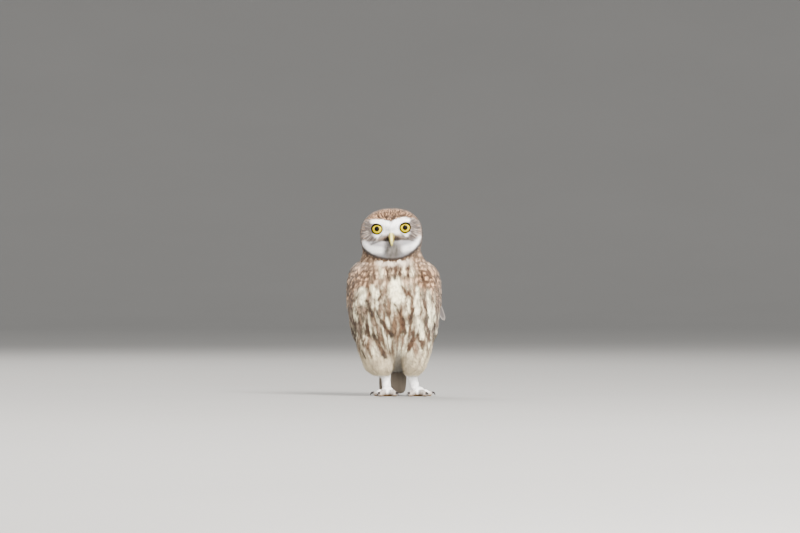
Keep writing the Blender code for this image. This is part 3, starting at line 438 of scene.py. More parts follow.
def body_colour(points):
    x, y, height = points.T
    azimuth = np.arctan2(x, -(y - TORSO_MIDDLE_Y))
    along = azimuth * 46
    limit = np.interp(height, BACK_EDGE_HEIGHTS, BACK_EDGE_TURNS)
    behind = smooth(limit - 0.15, limit + 0.15, np.abs(azimuth) + 0.1 * cloud(height / 8, along / 8, 81))
    colour = blend(under_colour(x, height, azimuth), back_colour(x, height, along), behind)
    vent = smooth(16, 26, y) * smooth(52, 44, height)
    return blend(blend(colour, VENT, vent), SHANK, smooth(24, 20, height))


def leg_colour(points):
    return blend(SHANK, SHADE_WHITE, 0.1 * cloud(points[:, 0] / 2, points[:, 2] / 4, 91))


PAINT = {"head": head_colour, "body": body_colour, "thigh": body_colour, "shank": leg_colour}


def new_mesh(name, points, faces, smooth_faces=True):
    """A mesh object from points in millimetres and faces as an array of corner numbers or a list."""
    mesh = bpy.data.meshes.new(name)
    mesh.vertices.add(len(points))
    world = (np.asarray(points, float) + ORIGIN) * MM
    mesh.vertices.foreach_set("co", world.astype(np.float32).ravel())
    sizes = [np.full(len(block), block.shape[1]) for block in faces]
    loops = np.concatenate([block.ravel() for block in faces])
    totals = np.concatenate(sizes)
    starts = np.concatenate(([0], np.cumsum(totals)[:-1]))
    mesh.loops.add(len(loops))
    mesh.loops.foreach_set("vertex_index", loops.astype(np.int32))
    mesh.polygons.add(len(totals))
    mesh.polygons.foreach_set("loop_start", starts.astype(np.int32))
    mesh.polygons.foreach_set("use_smooth", np.full(len(totals), smooth_faces))
    mesh.update(calc_edges=True)
    obj = bpy.data.objects.new(name, mesh)
    bpy.context.scene.collection.objects.link(obj)
    return obj


def finish_piece(obj, material, nodes=()):
    """Gives a piece its material and its body, and hides the nodes that it stands for."""
    obj.data.materials.clear()
    obj.data.materials.append(material)
    if nodes:
        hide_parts(*nodes)
    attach(obj, "root")


def point_colours(obj, name, colours):
    attribute = obj.data.color_attributes.new(name, "FLOAT_COLOR", "POINT")
    rows = np.ones((len(colours), 4), np.float32)
    rows[:, :3] = colours
    attribute.data.foreach_set("color", rows.ravel())


def corner_map(obj, name, places):
    """A UV map from a place for each vertex."""
    corners = np.empty(len(obj.data.loops), np.int32)
    obj.data.loops.foreach_get("vertex_index", corners)
    layer = obj.data.uv_layers.new(name=name)
    layer.data.foreach_set("uv", np.asarray(places, np.float32)[corners].ravel())


# The skin lies under the coat by these depths
COAT_DEPTH = {"face": 0.8, "crown": 1.8, "nape": 2.6, "body": 3.6, "back": 2.6, "thigh": 2.8, "shank": 0.7}
SKIN_NODES = ("head", "neck", "torso", "thigh_left", "thigh_right", "shank_left", "shank_right")
SKIN_GROWTH = 0.35
SKIN_VOXEL = 1.25
SKIN_SMOOTHING = 6
LABELS = ("head", "body", "thigh", "shank")


def node_points(node):
    """A node's corners, in millimetres, and its faces."""
    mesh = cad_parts[node].data
    points = np.empty(len(mesh.vertices) * 3, np.float32)
    mesh.vertices.foreach_get("co", points)
    return points.reshape(-1, 3) / MM - ORIGIN, [tuple(face.vertices) for face in mesh.polygons]


def closed_copy(nodes, growth):
    """One mesh of several nodes with their doubled corners joined, each grown along its normals."""
    made = bmesh.new()
    for node in nodes:
        part = bmesh.new()
        part.from_mesh(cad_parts[node].data)
        bmesh.ops.remove_doubles(part, verts=part.verts, dist=1e-6)
        bmesh.ops.recalc_face_normals(part, faces=part.faces)
        part.normal_update()
        moves = [vert.normal * growth * MM for vert in part.verts]
        for vert, move in zip(part.verts, moves):
            vert.co += move
        mesh = bpy.data.meshes.new("part")
        part.to_mesh(mesh)
        part.free()
        made.from_mesh(mesh)
        bpy.data.meshes.remove(mesh)
    mesh = bpy.data.meshes.new("copy")
    made.to_mesh(mesh)
    made.free()
    return mesh


def remeshed(name, nodes, voxel, growth, rounds):
    """A smooth even surface over nodes, as a new object."""
    obj = bpy.data.objects.new(name, closed_copy(nodes, growth))
    bpy.context.scene.collection.objects.link(obj)
    remesh = obj.modifiers.new("even", "REMESH")
    remesh.mode = "VOXEL"
    remesh.voxel_size = voxel * MM
    remesh.use_smooth_shade = True
    if rounds:
        soften = obj.modifiers.new("soften", "SMOOTH")
        soften.factor = 0.5
        soften.iterations = rounds
    bpy.context.view_layer.update()
    mesh = bpy.data.meshes.new_from_object(obj.evaluated_get(bpy.context.evaluated_depsgraph_get()))
    obj.modifiers.clear()
    obj.data = mesh
    return obj


def mesh_arrays(mesh):
    """A mesh's points in millimetres, its normals and its faces cut into triangles."""
    points = np.empty(len(mesh.vertices) * 3, np.float32)
    mesh.vertices.foreach_get("co", points)
    normals = np.empty(len(mesh.vertices) * 3, np.float32)
    mesh.vertices.foreach_get("normal", normals)
    mesh.calc_loop_triangles()
    corners = np.empty(len(mesh.loop_triangles) * 3, np.int32)
    mesh.loop_triangles.foreach_get("vertices", corners)
    return (
        points.reshape(-1, 3).astype(float) / MM - ORIGIN,
        normals.reshape(-1, 3).astype(float),
        corners.reshape(-1, 3),
    )


def nearest_labels(points):
    """Which part of the body each point belongs to, by the nearest node."""
    groups = {
        "head": ("head",),
        "body": ("neck", "torso"),
        "thigh": ("thigh_left", "thigh_right"),
        "shank": ("shank_left", "shank_right"),
    }
    distances = []
    for label in LABELS:
        tree = tree_of(groups[label])
        distances.append([tree.find_nearest(point)[3] for point in points])
    return np.argmin(np.array(distances), axis=0)


def tree_of(nodes):
    """A search tree over nodes, in millimetres."""
    points, faces = [], []
    for node in nodes:
        corners, sides = node_points(node)
        faces += [tuple(corner + len(points) for corner in side) for side in sides]
        points += [Vector(corner) for corner in corners]
    return BVHTree.FromPolygons(points, faces)


def coat_depth(points, labels):
    """How deep the coat is over the skin at these points."""
    head = to_head(points)
    front = smooth(19, 9, head[:, 1]) * smooth(16, 9, head[:, 2])
    high = smooth(-14, 6, head[:, 2])
    on_head = blend(blend(COAT_DEPTH["nape"], COAT_DEPTH["crown"], high), COAT_DEPTH["face"], front)
    azimuth = np.arctan2(points[:, 0], -(points[:, 1] - TORSO_MIDDLE_Y))
    on_body = blend(COAT_DEPTH["body"], COAT_DEPTH["back"], smooth(1.3, 1.8, np.abs(azimuth)))
    on_body = blend(on_body, 2.4, smooth(146, 156, points[:, 2]))
    on_thigh = blend(COAT_DEPTH["thigh"], 1.8, smooth(40, 26, points[:, 2]))
    on_shank = np.full(len(points), COAT_DEPTH["shank"])
    return np.choose(labels, (on_head, on_body, on_thigh, on_shank))


def make_skin():
    """One skin for head, neck, torso and legs, under the solids by the coat's depth."""
    obj = remeshed("skin", SKIN_NODES + ("eye_left", "eye_right"), SKIN_VOXEL, SKIN_GROWTH, SKIN_SMOOTHING)
    points, normals, _ = mesh_arrays(obj.data)
    labels = nearest_labels(points)
    depth = coat_depth(points, labels)
    moved = (points - normals * (depth[:, None] + SKIN_GROWTH) + ORIGIN) * MM
    obj.data.vertices.foreach_set("co", moved.astype(np.float32).ravel())
    soften = obj.modifiers.new("soften", "SMOOTH")
    soften.factor = 0.5
    soften.iterations = 4
    bpy.context.view_layer.update()
    mesh = bpy.data.meshes.new_from_object(obj.evaluated_get(bpy.context.evaluated_depsgraph_get()))
    obj.modifiers.clear()
    obj.data = mesh
    points, normals, triangles = mesh_arrays(obj.data)
    return obj, points, normals, triangles, labels


def painted(points, labels):
    """The coat's colour at points."""
    colours = np.empty((len(points), 3))
    for number, label in enumerate(LABELS):
        chosen = labels == number
        if chosen.any():
            colours[chosen] = PAINT[label](points[chosen])
    return np.clip(colours, 0, 1)


def unwrapped(points, labels):
    """Places from 0 to 1 on an unwrap of the skin: the head laid flat from the face's middle outwards, and the
    rest unrolled round the body or leg, from the floor up."""
    head = to_head(points) - HEAD_MIDDLE
    away = np.arctan2(np.hypot(head[:, 0], head[:, 2]), -head[:, 1]) / math.pi
    turn = np.arctan2(head[:, 2], head[:, 0])
    on_head = np.stack((0.5 + 0.49 * away * np.cos(turn), 0.5 + 0.49 * away * np.sin(turn)), 1)
    azimuth = np.arctan2(points[:, 0], -(points[:, 1] - TORSO_MIDDLE_Y)) / (2 * math.pi)
    on_body = np.stack((0.5 + 0.98 * azimuth, 0.02 + 0.96 * np.clip((points[:, 2] - 20) / 160, 0, 1)), 1)
    side = np.sign(points[:, 0] - 4)
    leg_x = points[:, 0] - np.where(side > 0, 22.5, -15)
    round_leg = np.arctan2(leg_x, -(points[:, 1] + 4)) / (2 * math.pi)
    on_leg = np.stack(
        (0.5 + side * 0.25 + 0.48 * round_leg, 0.02 + 0.96 * np.clip(points[:, 2] / 80, 0, 1)), 1
    )
    chosen = labels[:, None]
    return np.where(chosen == 0, on_head, np.where(chosen == 1, on_body, on_leg))


class Ground:
    """A surface that feathers grow from."""

    def __init__(self, points, normals, triangles, labels):
        self.points, self.normals, self.triangles, self.labels = points, normals, triangles, labels
        self.tree = BVHTree.FromPolygons([Vector(p) for p in points], [tuple(t) for t in triangles])

    def nearest(self, points):
        """The surface's nearest points, with smooth normals."""
        places, normals = np.empty((len(points), 3)), np.empty((len(points), 3))
        for i, point in enumerate(points):
            place, _, face, _ = self.tree.find_nearest(Vector(point))
            places[i] = place
            normals[i] = self.normals[self.triangles[face]].mean(0)
        return places, unit(normals)

    def scattered(self, count, draws):
        """Random roots, spread evenly by area."""
        corners = self.points[self.triangles]
        areas = np.linalg.norm(np.cross(corners[:, 1] - corners[:, 0], corners[:, 2] - corners[:, 0]), axis=1)
        chosen = draws.choice(len(areas), count, p=areas / areas.sum())
        shares = draws.random((count, 2))
        flip = shares.sum(1) > 1
        shares[flip] = 1 - shares[flip]
        a, b, c = (corners[chosen, k] for k in range(3))
        places = a + (b - a) * shares[:, :1] + (c - a) * shares[:, 1:]
        normals = unit(self.normals[self.triangles[chosen]].mean(1))
        return places, normals, self.labels[self.triangles[chosen, 0]]


def spaced(places, gaps):
    """Which of the places to keep so that none lies closer to another than its gap."""
    size = gaps.max()
    cells = {}
    kept = []
    keys = np.floor(places / size).astype(int)
    for i, (place, gap) in enumerate(zip(places, gaps)):
        x, y, z = keys[i]
        near = [j for dx in (-1, 0, 1) for dy in (-1, 0, 1) for dz in (-1, 0, 1)
                for j in cells.get((x + dx, y + dy, z + dz), ())]
        if near:
            away = places[near] - place
            if (np.einsum("ij,ij->i", away, away) < gap * gap).any():
                continue
        cells.setdefault((x, y, z), []).append(i)
        kept.append(i)
    return np.array(kept)


def unit(vectors):
    return vectors / np.maximum(np.linalg.norm(vectors, axis=-1, keepdims=True), 1e-9)


def flow(points, normals, labels):
    """The lie of the coat: the way that feathers point at these places."""
    head = to_head(points)
    x, y, z = head.T
    side = np.where(x > 0, 1.0, -1.0)
    eye = np.stack((x - side * EYE_SPREAD, np.zeros(len(x)), z), 1)
    from_bill = head - BILL_ROOT
    near_bill = np.exp(-(np.linalg.norm(from_bill, axis=1) / 11) ** 2)
    near_eye = np.exp(-(np.linalg.norm(eye, axis=1) / 15) ** 2) * smooth(20, 10, y)
    over_eye = smooth(2.5, 6.5, z) * smooth(13.5, 10.5, z) * smooth(3, 9, np.abs(x)) * smooth(20, 10, y)
    spread = unit(from_bill) + (1.7 * near_eye * (1 - over_eye))[:, None] * unit(eye)
    spread = spread + near_bill[:, None] * unit(from_bill)
    spread = spread + over_eye[:, None] * np.stack((1.5 * side, 0.3 + 0 * x, -0.75 + 0 * x), 1)
    behind = smooth(14, 40, y)
    spread = spread + behind[:, None] * np.array((0.0, 0.0, -1.6))
    spread[:, 2] -= 0.5 * smooth(-14, -24, z)
    on_head = spread @ HEAD_AXES
    lean = -0.0085 * points[:, 0] * smooth(128, 96, points[:, 2])
    on_body = np.stack((lean, 0.25 * smooth(56, 34, points[:, 2]), np.full(len(x), -1.0)), 1)
    on_leg = np.stack((0.04 * lean, np.full(len(x), 0.06), np.full(len(x), -1.0)), 1)
    chosen = labels[:, None]
    way = np.where(chosen == 0, on_head, np.where(chosen == 1, on_body, on_leg))
    way = way - normals * np.einsum("ij,ij->i", way, normals)[:, None]
    return unit(way)


# Cross-section of a blade: share of the half width across and height over its middle plane
SLIM_SECTION = ((-1.0, -0.25), (0.0, 0.5), (1.0, -0.25), (0.0, -0.5))
WIDE_SECTION = ((-1.0, -0.4), (-0.55, 0.3), (0.0, 0.9), (0.55, 0.3), (1.0, -0.4), (0.93, -0.8), (-0.93, -0.8))
HAIR_SECTION = ((-1.0, -0.5), (0.0, 0.9), (1.0, -0.5))


def blade_width(shares, tip):
    """Half width along a blade, as a share of its greatest. A tip of 0 is pointed and 1 is round."""
    swell = np.sin(math.pi * np.clip(0.16 + 0.84 * shares, 0, 1)) ** (0.55 - 0.25 * tip)
    taper = (1 - shares) ** (0.9 - 0.55 * tip)
    return np.maximum(np.minimum(swell, 1) * (0.45 + 0.55 * taper), 0.04) if tip < 0.5 else np.maximum(swell, 0.05)


class Vanes(NamedTuple):
    """Blades in one mesh: the object, and each corner's point, blade, share along, place across and side, which
    is 1 on top and 0 underneath."""

    obj: object
    points: np.ndarray
    owner: np.ndarray
    along: np.ndarray
    place: np.ndarray
    top: np.ndarray


def blades(name, lines, normals, half_widths, thickness, section, tip, droop=0.0, twist=None, ragged=None):
    """Closed thin blades, one along each line of points."""
    count, rows, _ = lines.shape
    section = np.array(section)
    shares = np.linspace(0, 1, rows)
    ahead = unit(np.gradient(lines, axis=1))
    across = unit(np.cross(ahead, normals))
    over = np.cross(across, ahead)
    if twist is not None:
        turn = twist[:, None, None] * shares[None, :, None]
        across, over = across * np.cos(turn) + over * np.sin(turn), over * np.cos(turn) - across * np.sin(turn)
    wide = half_widths[:, None] * blade_width(shares, tip)[None, :]
    if ragged is not None:
        wide = wide * ragged
    thick = thickness * (1 - 0.75 * shares)[None, :] * np.ones((count, 1))
    u = section[:, 0]
    lift = section[:, 1]
    points = (
        lines[:, :, None, :]
        + across[:, :, None, :] * (wide[:, :, None] * u)[..., None]
        + over[:, :, None, :] * (thick[:, :, None] * lift - droop * wide[:, :, None] * u * u)[..., None]
    )
    corners = len(section)
    base = (np.arange(count) * rows * corners)[:, None, None]
    row = (np.arange(rows - 1) * corners)[None, :, None]
    k = np.arange(corners)[None, None, :]
    after = (k + 1) % corners
    sides = np.stack(np.broadcast_arrays(
        base + row + k, base + row + corners + k, base + row + corners + after, base + row + after), -1)
    sides = sides.reshape(-1, 4)
    roots = (np.arange(count) * rows * corners)[:, None] + np.arange(corners)[None, :]
    tips = roots[:, ::-1] + (rows - 1) * corners
    obj = new_mesh(name, points.reshape(-1, 3), [sides, roots, tips])
    sharpen_rims(obj, corners, np.abs(u) == 1)
    owner = np.repeat(np.arange(count), rows * corners)
    along = np.tile(np.repeat(shares, corners), count)
    place = np.tile(u, count * rows)
    top = np.tile((lift > -0.7).astype(float), count * rows)
    return Vanes(obj, points.reshape(-1, 3), owner, along, place, top)


def sharpen_rims(obj, corners, rim):
    """Keeps the two faces of each blade apart in shading, so that it looks flat and not like a tube."""
    ends = np.empty(len(obj.data.edges) * 2, np.int32)
    obj.data.edges.foreach_get("vertices", ends)
    first, second = ends.reshape(-1, 2).T % corners
    attribute = obj.data.attributes.new("sharp_edge", "BOOLEAN", "EDGE")
    attribute.data.foreach_set("value", (first == second) & rim[first])


def patches(roots_uv, vanes, size=0.003):
    """Each blade's own small patch at its root's place on the unwrap."""
    return roots_uv[vanes.owner] + size * np.stack((vanes.place / 2, vanes.along - 0.5), 1)


def follow(ground, lie, roots, normals, labels, lengths, lean, rises):
    """Lines that run over the ground from roots the way that lie gives, turned aside by lean, and rise off it."""
    rows = rises.shape[1]
    line, outward = [roots], [normals]
    place, normal = roots, normals
    for _ in range(rows - 1):
        way = lie(place, normal, labels)
        aside = np.cross(normal, way)
        way = way * np.cos(lean)[:, None] + aside * np.sin(lean)[:, None]
        place, normal = ground.nearest(place + way * (lengths / (rows - 1))[:, None])
        line.append(place)
        outward.append(normal)
    line, outward = np.stack(line, 1), np.stack(outward, 1)
    free = np.linspace(0, 1, rows)[None, :, None]
    run = unit(np.gradient(line, axis=1))
    straight = roots[:, None, :] + run[:, :1] * lengths[:, None, None] * free
    line = line * (1 - 0.12 * free) + straight * 0.12 * free
    return line + outward * rises[:, :, None], outward


def rise_curve(rows, low, high):
    """How high a feather lies at each row: it lifts off near its root and lies almost flat to its tip."""
    shares = np.linspace(0, 1, rows)
    return low + (high - low) * (1 - (1 - shares) ** 1.7)


class Marks(NamedTuple):
    """A mark down the middle of single feathers: each one's colour and strength, and where it starts."""

    colours: np.ndarray
    strengths: np.ndarray
    start: float


def shade_blades(vanes, count, labels, draws, coat, marks=None):
    """Colours blades by where they lie, a little apart from each other, with a shaded root and pale edges."""
    wander = draws.normal(0, coat.wander, (count, 3))
    colours = painted(vanes.points + wander[vanes.owner], labels[vanes.owner])
    pale = coat.edge * smooth(0.5, 1.0, np.abs(vanes.place)) * smooth(0.3, 0.9, vanes.along)
    colours = blend(colours, np.minimum(colours * 1.4 + 0.05, 1), pale)
    if marks is not None:
        middle = (1 - np.abs(vanes.place)) * smooth(marks.start, marks.start + 0.25, vanes.along)
        colours = blend(colours, marks.colours[vanes.owner], middle * marks.strengths[vanes.owner])
    tones = (1 + draws.normal(0, coat.tone, count))[vanes.owner]
    root_shade = coat.root_shade + (1 - coat.root_shade) * smooth(0.0, 0.45, vanes.along)
    colours = colours * (tones * root_shade)[:, None]
    point_colours(vanes.obj, "Tint", np.clip(colours, 0, 1))
    corner_map(vanes.obj, "Vane", np.stack((0.5 + 0.5 * vanes.place, vanes.along), 1))


class Coat(NamedTuple):
    """One kind of small feather. Lifts are shares of the coat's depth, and a tip of 1 is round."""

    slot: str
    gap: float
    length: float
    half_width: float
    high: float = 1.1
    low: float = 0.05
    tip: float = 0.6
    droop: float = 0.25
    edge: float = 0.4
    wander: float = 0.5
    tone: float = 0.05
    root_shade: float = 0.8
    rows: int = 7
    ragged: float = 0.12
    lean: float = 0.12
    thick: float = 0.2


COATS = {
    "bristles": Coat("head_feathers", 0.8, 4.6, 0.3, high=1.9, tip=0.0, wander=0.1, edge=0.2, lean=0.25),
    "face": Coat("head_feathers", 0.75, 4.4, 0.7, high=1.05, tip=0.1, wander=0.1, edge=0.1, tone=0.02, ragged=0.2,
                 droop=0.03, root_shade=1.0, thick=0.1),
    "rim": Coat("head_feathers", 1.0, 6.0, 0.9, high=1.2, tip=0.2, wander=0.15, edge=0.1, tone=0.04, ragged=0.15,
                droop=0.04, thick=0.12),
    "crown": Coat("head_feathers", 1.1, 5.5, 0.9, high=1.1, tip=0.35, wander=0.3, edge=0.1, droop=0.1,
                  root_shade=0.6, tone=0.09),
    "nape": Coat("head_feathers", 1.9, 9.0, 2.3, high=1.1, edge=0.3, droop=0.15),
    "neck": Coat("body_feathers", 1.6, 9.5, 1.6, high=1.1, edge=0.2, droop=0.06, tip=0.25, ragged=0.2, wander=0.9,
                 root_shade=0.9),
    "under": Coat("body_feathers", 1.8, 15.0, 2.0, high=1.05, tip=0.2, edge=0.2, ragged=0.2, droop=0.05, rows=8,
                  root_shade=0.95),
    "back": Coat("body_feathers", 2.7, 14.0, 3.7, high=1.05, tip=0.8, edge=0.2, droop=0.15),
    "thigh": Coat("leg_feathers", 1.3, 9.0, 1.3, high=1.1, tip=0.15, edge=0.2, ragged=0.2, droop=0.05,
                  root_shade=1.0, tone=0.03),
    "shank": Coat("leg_feathers", 0.7, 4.0, 0.75, high=1.05, tip=0.2, edge=0.1, wander=0.1, tone=0.02, ragged=0.2,
                  droop=0.04, root_shade=0.95),
}


def coat_of(points, labels):
    """The name of the coat that grows at each place."""
    head = to_head(points)
    ruff_x, ruff_z = np.array(RUFF_LINE).T
    over_ruff = head[:, 2] - np.interp(head[:, 0], ruff_x, ruff_z)
    edge_x, edge_z = np.array(CROWN_EDGE).T
    below_crown = head[:, 2] < np.interp(head[:, 0], edge_x, edge_z) - 1.5
    front = (head[:, 1] < 16) & below_crown & (over_ruff > -1)
    rim = front & ((over_ruff < 4) | (np.abs(head[:, 0]) > 26))
    bristly = front & (np.hypot(head[:, 0], (head[:, 2] + 9) * 0.8) < 8)
    low_head = head[:, 2] < -2
    azimuth = np.abs(np.arctan2(points[:, 0], -(points[:, 1] - TORSO_MIDDLE_Y)))
    names = np.where(azimuth > 1.6, "back", "under")
    names = np.where(points[:, 2] > 140, "neck", names)
    names = np.where(labels == 2, "thigh", names)
    names = np.where(labels == 3, "shank", names)
    on_head = np.where(front, "face", np.where(low_head, "nape", "crown"))
    on_head = np.where(rim, "rim", on_head)
    on_head = np.where(bristly, "bristles", on_head)
    return np.where(labels == 0, on_head, names)


def clear_of_features(points, labels):
    """Places that eyes, bill and folded wings leave free."""
    head = to_head(points)
    x, y, z = head.T
    eye = np.hypot(np.abs(x) - EYE_SPREAD, z)
    bill = (np.abs(x) < 2.7) & (z < -3.0) & (z > -13.5) & (y < 0)
    on_face = (labels == 0) & (y < 8)
    keep = ~(on_face & ((eye < 6.35) | bill))
    return keep & ~under_wing(points, 6.0)


# The wings lie close on the body between these heights
WING_CONTACT = (74.0, 132.0)
BODY_RADIUS = 46.0


def under_wing(points, margin):
    """Places that the folded wings cover, further in from their edges than the margin."""
    turn = np.degrees(np.abs(np.arctan2(points[:, 0], -(points[:, 1] - TORSO_MIDDLE_Y))))
    lead = np.interp(points[:, 2], *wing_edge("leading"))
    rear = np.interp(points[:, 2], *wing_edge("rear"))
    reach = math.degrees(margin / BODY_RADIUS)
    covered = (turn > lead + reach) & (turn < rear - reach)
    return covered & (points[:, 2] > WING_CONTACT[0]) & (points[:, 2] < WING_CONTACT[1])


# Folded wing: height, turn round its bed from the front in degrees, and height over the bed
WING_LEADING = ((137, 52, 0.8), (113, 54, 0.8), (88, 64, 0.8), (62, 88, 1.2), (36, 118, 1.2), (12, 138, 0.8))
WING_MIDDLE = ((143, 88, 1.8), (117, 92, 2.5), (89, 99, 2.8), (62, 118, 2.8), (37, 138, 2.8), (12, 150, 2.4))
WING_REAR = ((142, 146, 1.8), (118, 155, 2.2), (91, 164, 2.4), (64, 170, 2.6), (38, 172, 2.6), (13, 172, 2.4))
# What the wings lie on: height, middle x, half width, front y, back y
WING_BED = (
    (8, -1.6, 12.5, 26.0, 49.0),
    (24, -0.8, 16.5, 18.0, 48.5),
    (38, 0.2, 24.0, 2.0, 46.5),
    (52, 0.5, 34.5, -20.0, 43.5),
    (70, 0.5, 43.0, -38.0, 40.0),
    (95, 0.0, 47.6, -43.0, 40.0),
    (118, 0.0, 48.0, -41.5, 38.5),
    (128, -0.1, 47.6, -38.6, 36.5),
    (137, -0.2, 45.4, -34.8, 33.8),
    (145, -0.7, 41.2, -30.4, 31.0),
    (151, -1.3, 36.8, -27.2, 28.8),
)
BED_SQUARENESS = 2.15


def wing_edge(which):
    """Heights and turns of one edge of the wing, lowest first."""
    table = {"leading": WING_LEADING, "rear": WING_REAR}[which]
    return [row[0] for row in reversed(table)], [row[1] for row in reversed(table)]


def curve(table, shares):
    """Points at shares from 0 to 1 on a smooth line through a table's rows."""
    table = np.array(table, float)
    place = np.clip(shares, 0, 1) * (len(table) - 1)
    low = np.clip(np.floor(place).astype(int), 0, len(table) - 2)
    s = (place - low)[..., None]
    slopes = np.gradient(table, axis=0)
    return (
        table[low] * (2 * s**3 - 3 * s**2 + 1)
        + slopes[low] * (s**3 - 2 * s**2 + s)
        + table[low + 1] * (3 * s**2 - 2 * s**3)
        + slopes[low + 1] * (s**3 - s**2)
    )


def bed_point(height, angle):
    """Points on the outline that the wings lie on."""
    rows = np.array(WING_BED)
    middle, half, front, back = (np.interp(height, rows[:, 0], rows[:, k]) for k in range(1, 5))
    power = 2 / BED_SQUARENESS
    sine, cosine = np.sin(angle), np.cos(angle)
    x = middle + half * np.sign(sine) * np.abs(sine) ** power
    y = (front + back) / 2 - (back - front) / 2 * np.sign(cosine) * np.abs(cosine) ** power
    return np.stack((x, y, height), -1)


def wing_point(side, share, across):
    """Points on a folded wing's outer face: share from shoulder to tip, across from leading to rear edge."""
    lead, middle, rear = (curve(table, share) for table in (WING_LEADING, WING_MIDDLE, WING_REAR))
    a = np.asarray(across)[..., None]
    height, turn, rise = np.moveaxis(
        lead * (1 - a) * (1 - 2 * a) + middle * 4 * a * (1 - a) + rear * a * (2 * a - 1), -1, 0
    )
    angle = side * np.radians(turn)
    point = bed_point(height, angle)
    step = 0.02
    level = bed_point(height, angle + step) - bed_point(height, angle - step)
    outward = unit(np.cross(level, (0.0, 0.0, 1.0)))
    return point + outward * rise[..., None]


TAIL_LINE = ((0.0, 36.6, 74.0), (-0.4, 39.4, 48.0), (-1.2, 41.4, 22.0), (-2.0, 42.8, 0.6))
TAIL_HALF_WIDTHS = (11.5, 13.4, 15.8, 17.2)
TAIL_CROWN = 1.6


def tail_point(share, across):
    """Points on the middle face of the tail: across runs from -1 on the owl's right to 1 on its left."""
    middle = curve(TAIL_LINE, share)
    half = curve([(w, 0, 0) for w in TAIL_HALF_WIDTHS], share)[..., 0]
    across = np.asarray(across)
    offset = np.stack((half * across, -TAIL_CROWN * across * across, 0 * across), -1)
    return middle + offset


def sheet_normal(point, sign, share, across, step=0.01):
    ahead = point(np.minimum(share + step, 1), across) - point(np.maximum(share - step, 0), across)
    sideways = point(share, across + step) - point(share, across - step)
    return unit(np.cross(ahead, sideways)) * sign


# Tiers of the wing: count, root share, tip share, place across of the roots and of the tips, each for the first
# and the last feather, half width, heights of root and tip over the wing's face, rise from each feather to the
# next, and rows of pale spots
WING_TIERS = {
    "primaries": (9, (0.50, 0.54), (0.86, 1.0), (0.62, 0.28), (0.70, 0.20), 3.7, (-1.2, -0.9), -0.26, 7),
    "secondaries": (11, (0.34, 0.34), (0.82, 0.73), (0.93, 0.10), (0.93, 0.08), 4.2, (-1.4, 0.4), 0.05, 5),
    "greater_coverts": (12, (0.26, 0.26), (0.56, 0.51), (0.86, 0.07), (0.88, 0.05), 3.9, (-1.0, 1.0), 0.04, 3),
    "median_coverts": (11, (0.18, 0.18), (0.44, 0.42), (0.84, 0.08), (0.86, 0.06), 4.1, (-0.8, 1.4), 0.03, 2),
    "lesser_coverts_low": (11, (0.11, 0.11), (0.34, 0.33), (0.82, 0.08), (0.84, 0.06), 4.0, (-0.7, 1.6), 0.03, 2),
    "scapulars_low": (5, (0.24, 0.10), (0.62, 0.40), (0.93, 0.90), (0.99, 0.95), 5.2, (-0.4, 1.8), 0.1, 2),
    "scapulars_high": (5, (0.12, 0.0), (0.46, 0.24), (0.88, 0.84), (0.93, 0.88), 5.0, (-0.4, 2.2), 0.1, 2),
    "alula": (3, (0.24, 0.16), (0.50, 0.38), (0.05, 0.03), (0.03, 0.01), 3.0, (-0.6, 1.0), 0.2, 2),
}
FEATHER_ROWS = 14


def make_wing(side_name, draws, material):
    """A folded wing, tier by tier, each feather a closed blade."""
    side = SIDES[side_name]
    point = functools.partial(wing_point, side)
    lines, normals, widths, counts, colours = [], [], [], [], []
    shares = np.linspace(0, 1, FEATHER_ROWS)
    for tier, (count, *ranges, half_width, lifts, step, rows) in WING_TIERS.items():
        for i in range(count):
            root_share, tip_share, root_place, tip_place = (
                first + (last - first) * i / (count - 1) for first, last in ranges
            )
            tip_share = min(tip_share + draws.normal(0, 0.006), 1)
            tip_place = tip_place + draws.normal(0, 0.008)
            share = root_share + (tip_share - root_share) * shares
            across = root_place + (tip_place - root_place) * shares
            normal = sheet_normal(point, side, share, across)
            lift = lifts[0] + (lifts[1] - lifts[0]) * shares**0.75 + step * (i if step < 0 else (i % 2) * 4)
            lines.append(point(share, across) + normal * (lift + draws.normal(0, 0.08))[:, None])
            normals.append(normal)
            widths.append(half_width * (1 + draws.normal(0, 0.04)))
            counts.append(rows)
            colours.append(tier)
    count = len(lines)
    vanes = blades(
        "wing_feathers_" + side_name, np.array(lines), np.array(normals), np.array(widths), 0.3, WIDE_SECTION, 1.0,
        0.12, draws.normal(0.0, 0.05, count) + side * 0.12,
    )
    base = np.array([WING_COLOURS.get(tier, WING_BROWN) for tier in colours])
    shade_vanes(vanes, base, draws, 0.3)
    spot_rows(vanes, np.array(counts, float), np.ones(count), draws)
    corner_map(vanes.obj, "OFBake", own_cells(vanes, count))
    finish_piece(vanes.obj, material, ("wing_" + side_name,))


def shade_vanes(vanes, base, draws, edge):
    """Colours large feathers one by one: a shaded root, a pale edge and tip, and a paler underside."""
    tones = 1 + draws.normal(0, 0.09, len(base))
    colours = base[vanes.owner] * (tones[vanes.owner] * (0.75 + 0.25 * smooth(0.05, 0.5, vanes.along)))[:, None]
    rim = smooth(0.7, 1.0, np.abs(vanes.place)) * smooth(0.4, 1, vanes.along) + smooth(0.95, 1.0, vanes.along)
    colours = blend(colours, WING_EDGE, edge * np.clip(rim, 0, 1))
    colours = blend(colours, VANE_UNDER, 0.9 * (1 - vanes.top))
    point_colours(vanes.obj, "Tint", np.clip(colours, 0, 1))
    corner_map(vanes.obj, "Vane", np.stack((0.5 + 0.5 * vanes.place, vanes.along), 1))


